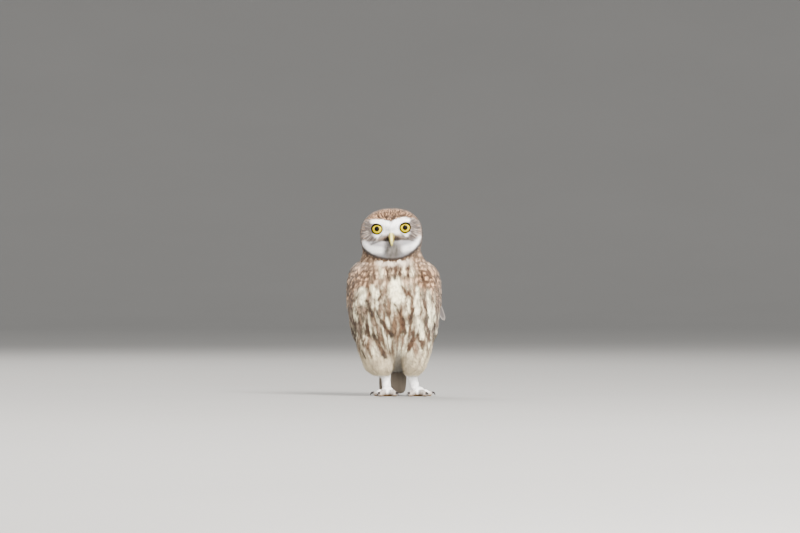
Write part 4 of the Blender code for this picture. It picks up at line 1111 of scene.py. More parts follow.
def spot_rows(vanes, rows, strengths, draws):
    """Stores how many rows of spots each feather has, how strong they are and how far they are moved."""
    values = {
        "SpotRows": rows[vanes.owner] * (1 + draws.normal(0, 0.05, len(rows)))[vanes.owner],
        "SpotStrength": (strengths * draws.uniform(0.55, 1.0, len(rows)))[vanes.owner] * vanes.top,
        "SpotShift": draws.random(len(rows))[vanes.owner],
    }
    for name, numbers in values.items():
        store_numbers(vanes.obj, name, numbers)


def own_cells(vanes, count):
    """A cell of the map for each large feather, so that its spots and bars keep their places."""
    columns = math.ceil(math.sqrt(count * 3))
    rows = math.ceil(count / columns)
    u = (vanes.owner % columns + 0.5 + 0.42 * vanes.place) / columns
    v = (vanes.owner // columns + 0.06 + 0.88 * vanes.along) / rows
    return np.stack((u, v), 1)


WING_BROWN = shown(116, 93, 75)
WING_EDGE = shown(178, 162, 142)
VANE_UNDER = shown(160, 151, 138)
WING_COLOURS = {
    "primaries": shown(100, 82, 68),
    "secondaries": shown(110, 89, 72),
    "alula": shown(112, 90, 73),
}

# The one feather that has slipped out of the folded left wing, from its root to its rounded tip
LOOSE_FEATHER = ((45.5, 8.0, 110.0), (51.2, 9.0, 98.0), (56.6, 10.0, 84.5))
LOOSE_FEATHER_NORMAL = (0.6, -0.75, 0.25)
LOOSE_FEATHER_HALF_WIDTH = 4.4
LOOSE_GREY = shown(116, 110, 108)
LOOSE_EDGE = shown(176, 170, 166)


def make_loose_feather(draws, material):
    shares = np.linspace(0, 1, FEATHER_ROWS)
    line = curve(LOOSE_FEATHER, shares)[None]
    normals = np.broadcast_to(unit(np.array(LOOSE_FEATHER_NORMAL)), line.shape)
    vanes = blades(
        "loose_feather", line, normals, np.array([LOOSE_FEATHER_HALF_WIDTH]), 0.3, WIDE_SECTION, 1.0, 0.1
    )
    edge = np.clip(smooth(0.6, 1.0, np.abs(vanes.place)) + smooth(0.86, 1.0, vanes.along), 0, 1)
    point_colours(vanes.obj, "Tint", blend(np.tile(LOOSE_GREY, (len(edge), 1)), LOOSE_EDGE, edge))
    corner_map(vanes.obj, "Vane", np.stack((0.5 + 0.5 * vanes.place, vanes.along), 1))
    spot_rows(vanes, np.ones(1), np.zeros(1), draws)
    corner_map(vanes.obj, "OFBake", own_cells(vanes, 1))
    finish_piece(vanes.obj, material)


TAIL_PLACES = (2.7, 5.4, 7.5, 9.3, 10.9, 12.3)
TAIL_HALF_WIDTH = 4.9
TAIL_TOP = 2.4
TAIL_DROP = 0.78
TAIL_BROWN = shown(112, 91, 74)


def make_tail(draws, material):
    """The closed tail: each side's feathers lie in a stack under the middle pair."""
    lines, normals = [], []
    shares = np.linspace(0.05, 1, FEATHER_ROWS + 6)
    for side in (-1, 1):
        for k, place in enumerate(TAIL_PLACES):
            level = 0 if k == 0 and side < 0 else k + 1
            across = np.full(len(shares), side * place / TAIL_HALF_WIDTHS[-1])
            share = shares * (1 - 0.006 * k)
            normal = sheet_normal(tail_point, -1, share, across)
            lines.append(tail_point(share, across) + normal * (TAIL_TOP - TAIL_DROP * level))
            normals.append(normal)
    count = len(lines)
    vanes = blades(
        "tail_feathers", np.array(lines), np.array(normals), np.full(count, TAIL_HALF_WIDTH), 0.28, WIDE_SECTION, 1.0,
        0.06,
    )
    shade_vanes(vanes, np.tile(TAIL_BROWN, (count, 1)), draws, 0.25)
    spot_rows(vanes, np.full(count, 5.5), np.full(count, 0.9), draws)
    corner_map(vanes.obj, "OFBake", own_cells(vanes, count))
    finish_piece(vanes.obj, material, ("tail",))


class Nodes:
    """Builds a material's nodes, with sums written as calls."""

    def __init__(self, name):
        self.material = bpy.data.materials.new(name)
        self.material.use_nodes = True
        self.tree = self.material.node_tree
        self.shader = self.tree.nodes["Principled BSDF"]

    def join(self, source, target):
        if isinstance(source, (int, float)):
            target.default_value = source
        elif isinstance(source, (tuple, list, np.ndarray)):
            target.default_value = (*[float(part) for part in source], 1.0)[: len(target.default_value)]
        else:
            self.tree.links.new(source, target)

    def math(self, operation, first, second=0.0, clamp=False):
        node = self.tree.nodes.new("ShaderNodeMath")
        node.operation = operation
        node.use_clamp = clamp
        self.join(first, node.inputs[0])
        self.join(second, node.inputs[1])
        return node.outputs[0]

    def step(self, low, high, value):
        node = self.tree.nodes.new("ShaderNodeMapRange")
        node.interpolation_type = "SMOOTHSTEP"
        for name, source in (("Value", value), ("From Min", low), ("From Max", high)):
            self.join(source, node.inputs[name])
        return node.outputs["Result"]

    def mix(self, first, second, share):
        node = self.tree.nodes.new("ShaderNodeMix")
        node.data_type = "RGBA"
        self.join(share, node.inputs["Factor"])
        self.join(first, node.inputs["A"])
        self.join(second, node.inputs["B"])
        return node.outputs["Result"]

    def scaled(self, colour, share):
        node = self.tree.nodes.new("ShaderNodeVectorMath")
        node.operation = "SCALE"
        self.join(colour, node.inputs[0])
        self.join(share, node.inputs["Scale"])
        return node.outputs[0]

    def attribute(self, name, output="Color"):
        node = self.tree.nodes.new("ShaderNodeAttribute")
        node.attribute_name = name
        return node.outputs[output]

    def map_place(self, name):
        node = self.tree.nodes.new("ShaderNodeUVMap")
        node.uv_map = name
        split = self.tree.nodes.new("ShaderNodeSeparateXYZ")
        self.tree.links.new(node.outputs["UV"], split.inputs[0])
        return split.outputs["X"], split.outputs["Y"], node.outputs["UV"]

    def position(self):
        return self.tree.nodes.new("ShaderNodeTexCoord").outputs["Object"]

    def noise(self, vector, scale, detail=3.0, roughness=0.55):
        node = self.tree.nodes.new("ShaderNodeTexNoise")
        self.join(vector, node.inputs["Vector"])
        for name, value in (("Scale", scale), ("Detail", detail), ("Roughness", roughness)):
            node.inputs[name].default_value = value
        return node.outputs["Fac"]

    def stretched(self, vector, scale):
        node = self.tree.nodes.new("ShaderNodeMapping")
        node.inputs["Scale"].default_value = scale
        self.join(vector, node.inputs["Vector"])
        return node.outputs["Vector"]

    def bump(self, height, strength, distance):
        node = self.tree.nodes.new("ShaderNodeBump")
        node.inputs["Strength"].default_value = strength
        node.inputs["Distance"].default_value = distance * MM
        self.join(height, node.inputs["Height"])
        self.tree.links.new(node.outputs["Normal"], self.shader.inputs["Normal"])

    def finish(self, colour, roughness, **constants):
        self.join(colour, self.shader.inputs["Base Color"])
        self.join(roughness, self.shader.inputs["Roughness"])
        for name, value in constants.items():
            self.shader.inputs[name.replace("_", " ")].default_value = value
        return self.material


def barbs(nodes):
    """Fine slanting lines on both sides of a vane's shaft, from 0 to 1, and the distance from the shaft."""
    u, v, _ = nodes.map_place("Vane")
    aside = nodes.math("ABSOLUTE", nodes.math("SUBTRACT", u, 0.5))
    slant = nodes.math("SUBTRACT", nodes.math("MULTIPLY", v, 26.0), nodes.math("MULTIPLY", aside, 18.0))
    wave = nodes.math("SINE", nodes.math("MULTIPLY", slant, 2 * math.pi))
    return nodes.math("ADD", nodes.math("MULTIPLY", wave, 0.5), 0.5), aside, v


def soft_feather_material():
    """Loose barbed feather, coloured by the plumage's markings."""
    nodes = Nodes("soft_feather")
    lines, aside, _ = barbs(nodes)
    grain = nodes.noise(nodes.position(), 900.0)
    shade = nodes.math("ADD", nodes.math("MULTIPLY", lines, 0.12), nodes.math("MULTIPLY", grain, 0.16))
    shaft = nodes.step(0.06, 0.0, aside)
    shade = nodes.math("SUBTRACT", nodes.math("ADD", shade, 0.86), nodes.math("MULTIPLY", shaft, 0.06))
    colour = nodes.scaled(nodes.attribute("Tint"), shade)
    nodes.bump(nodes.math("ADD", lines, grain), 0.35, 0.05)
    return nodes.finish(colour, 0.9, Sheen_Weight=0.12, Sheen_Roughness=0.6, Specular_IOR_Level=0.2)


def firm_feather_material():
    """Firm vane with paired pale spots, or bars where the rows are many."""
    nodes = Nodes("firm_feather")
    lines, aside, v = barbs(nodes)
    rows = nodes.attribute("SpotRows", "Fac")
    strength = nodes.attribute("SpotStrength", "Fac")
    shift = nodes.math("MULTIPLY", nodes.attribute("SpotShift", "Fac"), 0.4)
    uneven = nodes.math("MULTIPLY", nodes.math("SUBTRACT", nodes.noise(nodes.position(), 300.0), 0.5), 2.2)
    place = nodes.math("FRACT", nodes.math("ADD", nodes.math("MULTIPLY", v, rows), nodes.math("ADD", shift, 0.2)))
    high = nodes.math("DIVIDE", nodes.math("ABSOLUTE", nodes.math("SUBTRACT", place, 0.5)), 0.25)
    wide = nodes.math("DIVIDE", nodes.math("SUBTRACT", aside, 0.3), 0.17)
    away = nodes.math("ADD", nodes.math("MULTIPLY", high, high), nodes.math("MULTIPLY", wide, wide))
    spot = nodes.math("MULTIPLY", nodes.step(1.3, 0.4, nodes.math("ADD", away, uneven)), strength)
    spot = nodes.math("MULTIPLY", spot, nodes.step(0.12, 0.3, v))
    grain = nodes.noise(nodes.position(), 700.0)
    shade = nodes.math("ADD", nodes.math("MULTIPLY", lines, 0.12), nodes.math("MULTIPLY", grain, 0.2))
    shaft = nodes.step(0.045, 0.0, aside)
    shade = nodes.math("SUBTRACT", nodes.math("ADD", shade, 0.84), nodes.math("MULTIPLY", shaft, 0.2))
    colour = nodes.mix(nodes.attribute("Tint"), shown(212, 196, 170), spot)
    nodes.bump(nodes.math("ADD", lines, grain), 0.4, 0.06)
    return nodes.finish(nodes.scaled(colour, shade), 0.7, Sheen_Weight=0.1, Sheen_Roughness=0.5, Specular_IOR_Level=0.3)


def skin_material():
    """Down over the skin, in the markings of the coat over it."""
    nodes = Nodes("down")
    grain = nodes.noise(nodes.stretched(nodes.position(), (1.0, 1.0, 0.35)), 1400.0)
    colour = nodes.scaled(nodes.attribute("Tint"), nodes.math("ADD", nodes.math("MULTIPLY", grain, 0.4), 0.65))
    nodes.bump(grain, 0.5, 0.15)
    return nodes.finish(colour, 0.95, Sheen_Weight=0.1, Specular_IOR_Level=0.15)


IRIS = (0.44, 0.35, 0.0)
IRIS_DEEP = (0.22, 0.12, 0.0)
IRIS_SHADED = (0.10, 0.07, 0.0)
IRIS_RIM = (0.03, 0.016, 0.0)
IRIS_RADIUS = 5.6
PUPIL_RADIUS = 2.75


def eye_material():
    """Yellow iris with fine fibres and a dark rim round a black pupil, under a wet surface."""
    nodes = Nodes("eye")
    place = nodes.attribute("EyePlace", "Vector")
    split = nodes.tree.nodes.new("ShaderNodeSeparateXYZ")
    nodes.tree.links.new(place, split.inputs[0])
    x, y = split.outputs["X"], split.outputs["Y"]
    away = nodes.math("SQRT", nodes.math("ADD", nodes.math("MULTIPLY", x, x), nodes.math("MULTIPLY", y, y)))
    turn = nodes.math("ARCTAN2", y, x)
    ring = nodes.tree.nodes.new("ShaderNodeCombineXYZ")
    nodes.join(nodes.math("MULTIPLY", nodes.math("COSINE", turn), 6.0), ring.inputs["X"])
    nodes.join(nodes.math("MULTIPLY", nodes.math("SINE", turn), 6.0), ring.inputs["Y"])
    nodes.join(nodes.math("MULTIPLY", away, 0.25), ring.inputs["Z"])
    fibres = nodes.noise(ring.outputs[0], 2.2, 4.0, 0.7)
    colour = nodes.mix(IRIS, IRIS_DEEP, nodes.math("MULTIPLY", nodes.step(0.45, 0.8, fibres), 0.55))
    colour = nodes.mix(colour, IRIS_DEEP, nodes.math("MULTIPLY", nodes.step(3.4, PUPIL_RADIUS, away), 0.35))
    colour = nodes.mix(colour, IRIS_SHADED, nodes.math("MULTIPLY", nodes.step(0.8, 4.4, y), 0.85))
    colour = nodes.mix(colour, IRIS_RIM, nodes.step(IRIS_RADIUS - 1.2, IRIS_RADIUS, away))
    colour = nodes.mix((0.003, 0.003, 0.003), colour, nodes.step(PUPIL_RADIUS - 0.12, PUPIL_RADIUS + 0.16, away))
    return nodes.finish(colour, 0.5, Coat_Weight=0.2, Coat_Roughness=0.02, Coat_IOR=1.25, Specular_IOR_Level=0.0)


def lid_material():
    nodes = Nodes("eyelid")
    grain = nodes.noise(nodes.position(), 2600.0)
    colour = nodes.mix(shown(6, 5, 4), shown(22, 17, 13), grain)
    nodes.bump(grain, 0.5, 0.08)
    return nodes.finish(colour, 0.7, Specular_IOR_Level=0.03)


BILL_RIDGE = (0.48, 0.44, 0.11)
BILL_PALE = (0.60, 0.55, 0.20)
BILL_SIDE = (0.20, 0.16, 0.025)
BILL_ROOT_COLOUR = (0.15, 0.12, 0.05)
BILL_TIP = (0.36, 0.32, 0.06)


def bill_material():
    """Pale greenish yellow horn, browner at the root and with faint growth lines."""
    nodes = Nodes("bill_horn")
    split = nodes.tree.nodes.new("ShaderNodeSeparateXYZ")
    nodes.tree.links.new(nodes.attribute("HeadPlace", "Vector"), split.inputs[0])
    grain = nodes.noise(nodes.stretched(nodes.position(), (1.0, 1.0, 0.25)), 1500.0)
    root = nodes.step(-11.5, -7.0, split.outputs["Y"])
    tip = nodes.step(-16.5, -19.5, split.outputs["Z"])
    aside = nodes.math("ABSOLUTE", split.outputs["X"])
    colour = nodes.mix(BILL_RIDGE, BILL_PALE, grain)
    colour = nodes.mix(colour, BILL_SIDE, nodes.step(0.5, 2.0, aside))
    colour = nodes.mix(colour, BILL_ROOT_COLOUR, nodes.math("MULTIPLY", root, 0.85))
    colour = nodes.mix(colour, BILL_TIP, tip)
    nodes.bump(grain, 0.25, 0.06)
    return nodes.finish(colour, 0.34, Coat_Weight=0.25, Coat_Roughness=0.25, Specular_IOR_Level=0.5)


def claw_material():
    nodes = Nodes("claw_horn")
    grain = nodes.noise(nodes.stretched(nodes.position(), (1.0, 1.0, 0.3)), 1800.0)
    colour = nodes.mix(shown(34, 28, 30), shown(78, 68, 72), grain)
    nodes.bump(grain, 0.2, 0.05)
    return nodes.finish(colour, 0.32, Coat_Weight=0.3, Coat_Roughness=0.2, Specular_IOR_Level=0.5)


def toe_material():
    """Scaled skin, greyish white on top and ochre on the soles."""
    nodes = Nodes("toe_scales")
    position = nodes.position()
    cells = nodes.tree.nodes.new("ShaderNodeTexVoronoi")
    cells.feature = "DISTANCE_TO_EDGE"
    cells.inputs["Scale"].default_value = 1500.0
    nodes.join(position, cells.inputs["Vector"])
    seam = nodes.step(0.10, 0.0, cells.outputs["Distance"])
    grain = nodes.noise(position, 700.0)
    sole = nodes.attribute("Sole", "Fac")
    colour = nodes.mix(shown(208, 203, 198), shown(184, 179, 176), grain)
    colour = nodes.mix(colour, shown(130, 118, 106), nodes.math("MULTIPLY", seam, 0.4))
    colour = nodes.mix(colour, shown(172, 138, 66), sole)
    colour = nodes.mix(colour, SHANK, nodes.attribute("Feathered", "Fac"))
    nodes.bump(nodes.math("SUBTRACT", grain, seam), 0.5, 0.1)
    return nodes.finish(colour, 0.6, Specular_IOR_Level=0.35)


EYE_RADIUS = 8.0
EYE_OUTWARD = 8.0
CORNEA_RADIUS = 5.9
CORNEA_RISE = 0.8
EYE_RINGS = 40
EYE_SIDES = 48
LID_SIDES = 56
LID_AROUND = 14


def eye_frame(side):
    """An eye's own frame in the head's, whose z axis points out of the face."""
    turn = Matrix.Rotation(math.radians(side * EYE_OUTWARD), 3, "Z") @ Matrix.Rotation(math.pi / 2, 3, "X")
    return np.array(turn), np.array((side * EYE_SPREAD, 0.0, 0.0))


def in_eye(side, points):
    turn, place = eye_frame(side)
    return from_head(np.asarray(points) @ turn.T + place)


def ring_faces(rings, sides, closed=False):
    """Quads between rings of points, and round to the first ring where they close."""
    k = np.arange(sides)
    count = rings if closed else rings - 1
    blocks = []
    for r in range(count):
        a, b = r * sides, (r + 1) % rings * sides
        blocks.append(np.stack((a + k, a + (k + 1) % sides, b + (k + 1) % sides, b + k), 1))
    return np.concatenate(blocks)


def make_eye(side_name, material):
    """An eyeball with the low dome of its cornea in front."""
    side = SIDES[side_name]
    tilts = np.linspace(0.02, math.pi - 0.1, EYE_RINGS)
    turns = np.linspace(0, 2 * math.pi, EYE_SIDES, endpoint=False)
    radius = EYE_RADIUS * np.sin(tilts)
    height = EYE_RADIUS * np.cos(tilts)
    dome = (height > 0) & (radius < CORNEA_RADIUS)
    height = height + np.where(dome, CORNEA_RISE * (1 - (radius / CORNEA_RADIUS) ** 2), 0)
    local = np.stack(
        (radius[:, None] * np.cos(turns), radius[:, None] * np.sin(turns), height[:, None] + 0 * turns), -1
    ).reshape(-1, 3)
    k = np.arange(EYE_SIDES)
    caps = [k[None, ::-1], (k + (EYE_RINGS - 1) * EYE_SIDES)[None, :]]
    obj = new_mesh("eyeball_" + side_name, in_eye(side, local), [ring_faces(EYE_RINGS, EYE_SIDES)[:, ::-1], *caps])
    recalculate(obj)
    pupil_shift = np.array((-0.4 * side, 0.1, 0.0))
    seen = local - pupil_shift * smooth(6.5, 1.0, np.hypot(local[:, 0], local[:, 1]))[:, None]
    seen[local[:, 2] < 0, :2] = 99
    store_vectors(obj, "EyePlace", seen)
    finish_piece(obj, material, ("eye_" + side_name,))


def store_numbers(obj, name, values):
    attribute = obj.data.attributes.new(name, "FLOAT", "POINT")
    attribute.data.foreach_set("value", np.asarray(values, np.float32))


def store_vectors(obj, name, values):
    attribute = obj.data.attributes.new(name, "FLOAT_VECTOR", "POINT")
    attribute.data.foreach_set("vector", np.asarray(values, np.float32).ravel())


def recalculate(obj):
    """Turns a closed mesh's faces outwards."""
    made = bmesh.new()
    made.from_mesh(obj.data)
    bmesh.ops.recalc_face_normals(made, faces=made.faces)
    made.to_mesh(obj.data)
    made.free()


def make_lids(side_name, material):
    """The dark rim of the lids: a soft ring, thicker over the eye and at its outer corner."""
    side = SIDES[side_name]
    turns = np.linspace(0, 2 * math.pi, LID_SIDES, endpoint=False)
    angles = np.linspace(0, 2 * math.pi, LID_AROUND, endpoint=False)
    rings = []
    for turn in turns:
        upper = smooth(-0.1, 0.9, math.sin(turn))
        outer = smooth(0.2, 1.0, math.cos(turn - (0.55 if side > 0 else math.pi - 0.55)))
        reach = 5.85 - 1.9 * upper
        thick = 0.26 + 0.82 * upper + 0.18 * outer
        middle = reach + thick
        height = math.sqrt(max(EYE_RADIUS**2 - middle**2, 1)) + 0.3 + 0.3 * upper
        radius = middle + thick * np.cos(angles)
        rise = height + (0.4 + 0.3 * upper) * np.sin(angles)
        rings.append(np.stack((radius * math.cos(turn), radius * math.sin(turn), rise), 1))
    obj = new_mesh("eyelids_" + side_name, in_eye(side, np.concatenate(rings)), [ring_faces(LID_SIDES, LID_AROUND, True)])
    recalculate(obj)
    finish_piece(obj, material)


def make_bill(material):
    """The two halves of the bill, smoothed from their solids."""
    for half in ("upper", "lower"):
        obj = remeshed("bill_" + half + "_horn", ("bill_" + half,), 0.26, 0.16, 16)
        points, _, _ = mesh_arrays(obj.data)
        store_vectors(obj, "HeadPlace", to_head(points))
        finish_piece(obj, material, ("bill_" + half,))


def make_feet(draws, toe, claw, feather):
    for side in SIDES:
        nodes = ["foot_" + side] + [f"toe_{name}_{side}" for name in TOES]
        obj = remeshed("toes_" + side, nodes, 0.42, 0.25, 5)
        points, normals, triangles = mesh_arrays(obj.data)
        store_numbers(obj, "Sole", smooth(-0.2, -0.75, normals[:, 2]) * smooth(3.4, 1.6, points[:, 2]))
        away = np.linalg.norm((points - foot_middle(side))[:, :2], axis=1)
        store_numbers(obj, "Feathered", smooth(11, 7, away) * smooth(2.0, 3.5, points[:, 2]))
        finish_piece(obj, toe, nodes)
        ground = Ground(points, normals, triangles, np.full(len(points), LABELS.index("shank")))
        make_foot_feathers(side, ground, draws, feather)
        for name in TOES:
            node = f"claw_{name}_{side}"
            horn = remeshed(node + "_horn", (node,), 0.22, 0.1, 4)
            finish_piece(horn, claw, (node,))


# White feathering of the foot, and how far it reaches from the foot's middle before it thins out
FOOT_COAT = Coat("leg_feathers", 0.55, 3.2, 0.36, high=1.0, tip=0.1, wander=0.1, tone=0.02, ragged=0.2, droop=0.02,
                 root_shade=1.0, rows=5, lean=0.25)
FOOT_COAT_DEPTH = 0.6
FOOT_COAT_REACH = (7.5, 15.0)


def foot_middle(side):
    return np.array(box_middle("foot_" + side)) / MM - ORIGIN


def make_foot_feathers(side, ground, draws, material):
    """Short white feathers over the foot, thinning to bristles along the toes."""
    coat = FOOT_COAT
    middle = foot_middle(side)
    places, normals, labels = ground.scattered(9000, draws)
    away = np.hypot(places[:, 0] - middle[0], places[:, 1] - middle[1])
    thin = smooth(*FOOT_COAT_REACH, away)
    keep = (normals[:, 2] > -0.25 + 0.7 * thin) & (places[:, 2] > 2.6) & (draws.random(len(places)) > 0.9 * thin)
    keep = keep & (away < FOOT_COAT_REACH[1])
    places, normals, labels, thin = places[keep], normals[keep], labels[keep], thin[keep]
    kept = spaced(places, coat.gap * (1 + thin))
    roots, outward, labels, thin = places[kept], normals[kept], labels[kept], thin[kept]
    count = len(roots)

    def lie(points, normals, labels):
        way = points - middle
        way[:, 2] = -3.0
        way = way - normals * np.einsum("ij,ij->i", way, normals)[:, None]
        return unit(way)

    rises = rise_curve(coat.rows, coat.low, coat.high)[None, :] * FOOT_COAT_DEPTH * np.ones((count, 1))
    rises[:, 0] -= 0.2
    lengths = varied(coat.length, 0.15, count, draws) * (1 - 0.35 * thin)
    lines, faces = follow(ground, lie, roots, outward, labels, lengths, draws.normal(0, coat.lean, count), rises)
    ragged = 1 + draws.normal(0, coat.ragged, (count, coat.rows))
    widths = varied(coat.half_width, 0.15, count, draws) * (1 - 0.6 * thin)
    vanes = blades("coat_foot_" + side, lines, faces, widths, 0.12, SLIM_SECTION, coat.tip, coat.droop,
                   draws.normal(0, 0.15, count), ragged)
    shade_blades(vanes, count, labels, draws, coat)
    corner_map(vanes.obj, "OFBake", patches(unwrapped(roots, labels), vanes))
    finish_piece(vanes.obj, material)


def middle_marks(name, roots, draws):
    """Pale marks down the middle of the crown's, nape's and facial disc rim's feathers."""
    count = len(roots)
    share, strength, start = {"crown": (0.7, 0.8, 0.2), "nape": (0.3, 0.8, 0.5), "rim": (0.45, 0.6, 0.2)}.get(
        name, (0.0, 0.0, 0.5)
    )
    if share == 0:
        return None
    head = to_head(roots)
    strengths = strength * (draws.random(count) < share) * (0.6 + 0.4 * draws.random(count))
    if name == "rim":
        strengths = strengths * smooth(22, 26, np.abs(head[:, 0])) * smooth(-16, -12, head[:, 2])
    return Marks(np.tile(CROWN_STREAK, (count, 1)), strengths, start)


def varied(value, spread, count, draws):
    """Numbers round a value, apart by about the spread as a share of it."""
    return value * (1 + draws.normal(0, spread, count)).clip(1 - 3 * spread, 1 + 3 * spread)


# The thighs' feathers get shorter between these heights, and end over the shanks
TROUSER_HEIGHTS = (28.0, 42.0)
TROUSER_SHARE = 0.35


def short_share(roots, labels):
    """How long feathers are at their roots, as a share of their coat's length."""
    low = 1 - smooth(*TROUSER_HEIGHTS, roots[:, 2])
    return np.where(labels == LABELS.index("thigh"), 1 - (1 - TROUSER_SHARE) * low, 1.0)


def make_coat(skin, draws, material):
    """Small feathers all over the skin, by region."""
    places, normals, labels = skin.scattered(70000, draws)
    keep = clear_of_features(places, labels)
    places, normals, labels = places[keep], normals[keep], labels[keep]
    names = coat_of(places, labels)
    kept = spaced(places, np.array([COATS[name].gap for name in names]))
    places, normals, labels, names = places[kept], normals[kept], labels[kept], names[kept]
    depth = coat_depth(places, labels)
    for name, coat in COATS.items():
        chosen = names == name
        roots, outward, label = places[chosen], normals[chosen], labels[chosen]
        count = len(roots)
        rises = rise_curve(coat.rows, coat.low, coat.high)[None, :] * depth[chosen][:, None]
        rises = rises * varied(1, 0.03, count, draws)[:, None]
        rises[:, 0] -= 0.25
        lengths = varied(coat.length, 0.12, count, draws) * short_share(roots, label)
        lean = draws.normal(0, coat.lean, count)
        lines, faces = follow(skin, flow, roots, outward, label, lengths, lean, rises)
        ragged = 1 + draws.normal(0, coat.ragged, (count, coat.rows))
        vanes = blades(
            "coat_" + name, lines, faces, varied(coat.half_width, 0.12, count, draws), coat.thick, SLIM_SECTION,
            coat.tip, coat.droop, draws.normal(0, 0.1, count), ragged,
        )
        shade_blades(vanes, count, label, draws, coat, middle_marks(name, roots, draws))
        corner_map(vanes.obj, "OFBake", patches(unwrapped(roots, label), vanes))
        finish_piece(vanes.obj, material)


# Fine loose barbs over the coat, with how many of each
FUZZ = {
    "head": (13000, Coat("head_feathers", 0, 3.8, 0.12, high=1.35, low=0.4, tip=0.0, wander=0.15, lean=0.2, rows=4)),
    "body": (27000, Coat("body_feathers", 0, 8.0, 0.14, high=1.15, low=0.4, tip=0.0, wander=0.4, lean=0.14, rows=4)),
    "thigh": (7500, Coat("leg_feathers", 0, 6.0, 0.14, high=1.35, low=0.4, tip=0.0, wander=0.4, lean=0.16, rows=4)),
    "shank": (2600, Coat("leg_feathers", 0, 3.0, 0.12, high=1.7, low=0.4, tip=0.0, wander=0.1, lean=0.2, rows=4)),
}
FUZZ_IN_PIECE = 8000


def make_fuzz(skin, draws, material):
    for number, label in enumerate(LABELS):
        wanted, coat = FUZZ[label]
        share = (skin.labels[skin.triangles[:, 0]] == number).mean()
        places, normals, labels = skin.scattered(int(wanted / max(share, 0.02)), draws)
        keep = (labels == number) & clear_of_features(places, labels)
        roots, outward, labels = places[keep][:wanted], normals[keep][:wanted], labels[keep][:wanted]
        for piece, first in enumerate(range(0, len(roots), FUZZ_IN_PIECE)):
            some = slice(first, first + FUZZ_IN_PIECE)
            name = f"barbs_{label}_{piece + 1}"
            make_barbs(name, skin, coat, roots[some], outward[some], labels[some], draws, material)


def make_barbs(name, skin, coat, roots, outward, labels, draws, material):
    """One piece of the loose barbs."""
    count = len(roots)
    rises = rise_curve(coat.rows, coat.low, coat.high)[None, :] * coat_depth(roots, labels)[:, None]
    rises = rises * varied(1, 0.12, count, draws)[:, None]
    lengths = varied(coat.length, 0.2, count, draws) * short_share(roots, labels)
    lines, faces = follow(skin, flow, roots, outward, labels, lengths, draws.normal(0, coat.lean, count), rises)
    vanes = blades(name, lines, faces, np.full(count, coat.half_width), 0.1, HAIR_SECTION, coat.tip)
    shade_blades(vanes, count, labels, draws, coat)
    corner_map(vanes.obj, "OFBake", patches(unwrapped(roots, labels), vanes))
    finish_piece(vanes.obj, material)


class Cover(NamedTuple):
    """Small feathers of the body that lie over the folded wing: their coat, how much of the outline round the
    wing they root on, in height and in degrees before the leading edge and behind it or the rear edge, how high
    they lie over the wing and how far their line follows the wing's leading edge."""

    coat: Coat
    heights: tuple
    before: float
    behind: float
    from_rear: bool
    over: float
    follow: float


COVERS = {
    "shoulder": Cover(
        Coat("wing_feathers", 2.3, 10.0, 2.3, edge=0.25, wander=0.3, droop=0.12), (107.0, 150.0), 7.0, 4.0, True,
        1.5, 0.0,
    ),
    "flank": Cover(
        Coat("body_feathers", 2.2, 17.0, 2.4, tip=0.3, edge=0.3, ragged=0.2, droop=0.05, rows=8, root_shade=0.9),
        (60.0, 131.0), 16.0, 19.0, False, 1.9, 0.45,
    ),
}
SHOULDER_TOP = (150.0, 139.0)


def wing_rise(height, turn):
    """How high the wing's face lies over its bed, at heights and turns from the front in degrees."""
    edges = []
    for table in (WING_LEADING, WING_MIDDLE, WING_REAR):
        rows = np.array(table[::-1])
        edges.append((np.interp(height, rows[:, 0], rows[:, 1]), np.interp(height, rows[:, 0], rows[:, 2])))
    (lead, lead_rise), (_, middle_rise), (rear, rear_rise) = edges
    a = np.clip((turn - lead) / (rear - lead), 0, 1)
    rise = lead_rise * (1 - a) * (1 - 2 * a) + middle_rise * 4 * a * (1 - a) + rear_rise * a * (2 * a - 1)
    inside = smooth(lead - 9, lead + 2, turn) * smooth(rear + 7, rear - 2, turn)
    return rise * inside, inside


def cover_roots(cover, draws):
    """Heights and turns of a cover's roots, evenly spread."""
    count = 6000
    height = draws.uniform(*cover.heights, count)
    turn = draws.uniform(20, 180, count)
    lead = np.interp(height, *wing_edge("leading"))
    last = np.interp(height, *wing_edge("rear")) if cover.from_rear else lead
    reach = cover.behind * (smooth(132, 112, height) if not cover.from_rear else 1)
    keep = (turn > lead - cover.before) & (turn < last + reach)
    height, turn = height[keep], turn[keep]
    kept = spaced(bed_point(height, np.radians(turn)), np.full(len(height), cover.coat.gap))
    return height[kept], turn[kept]


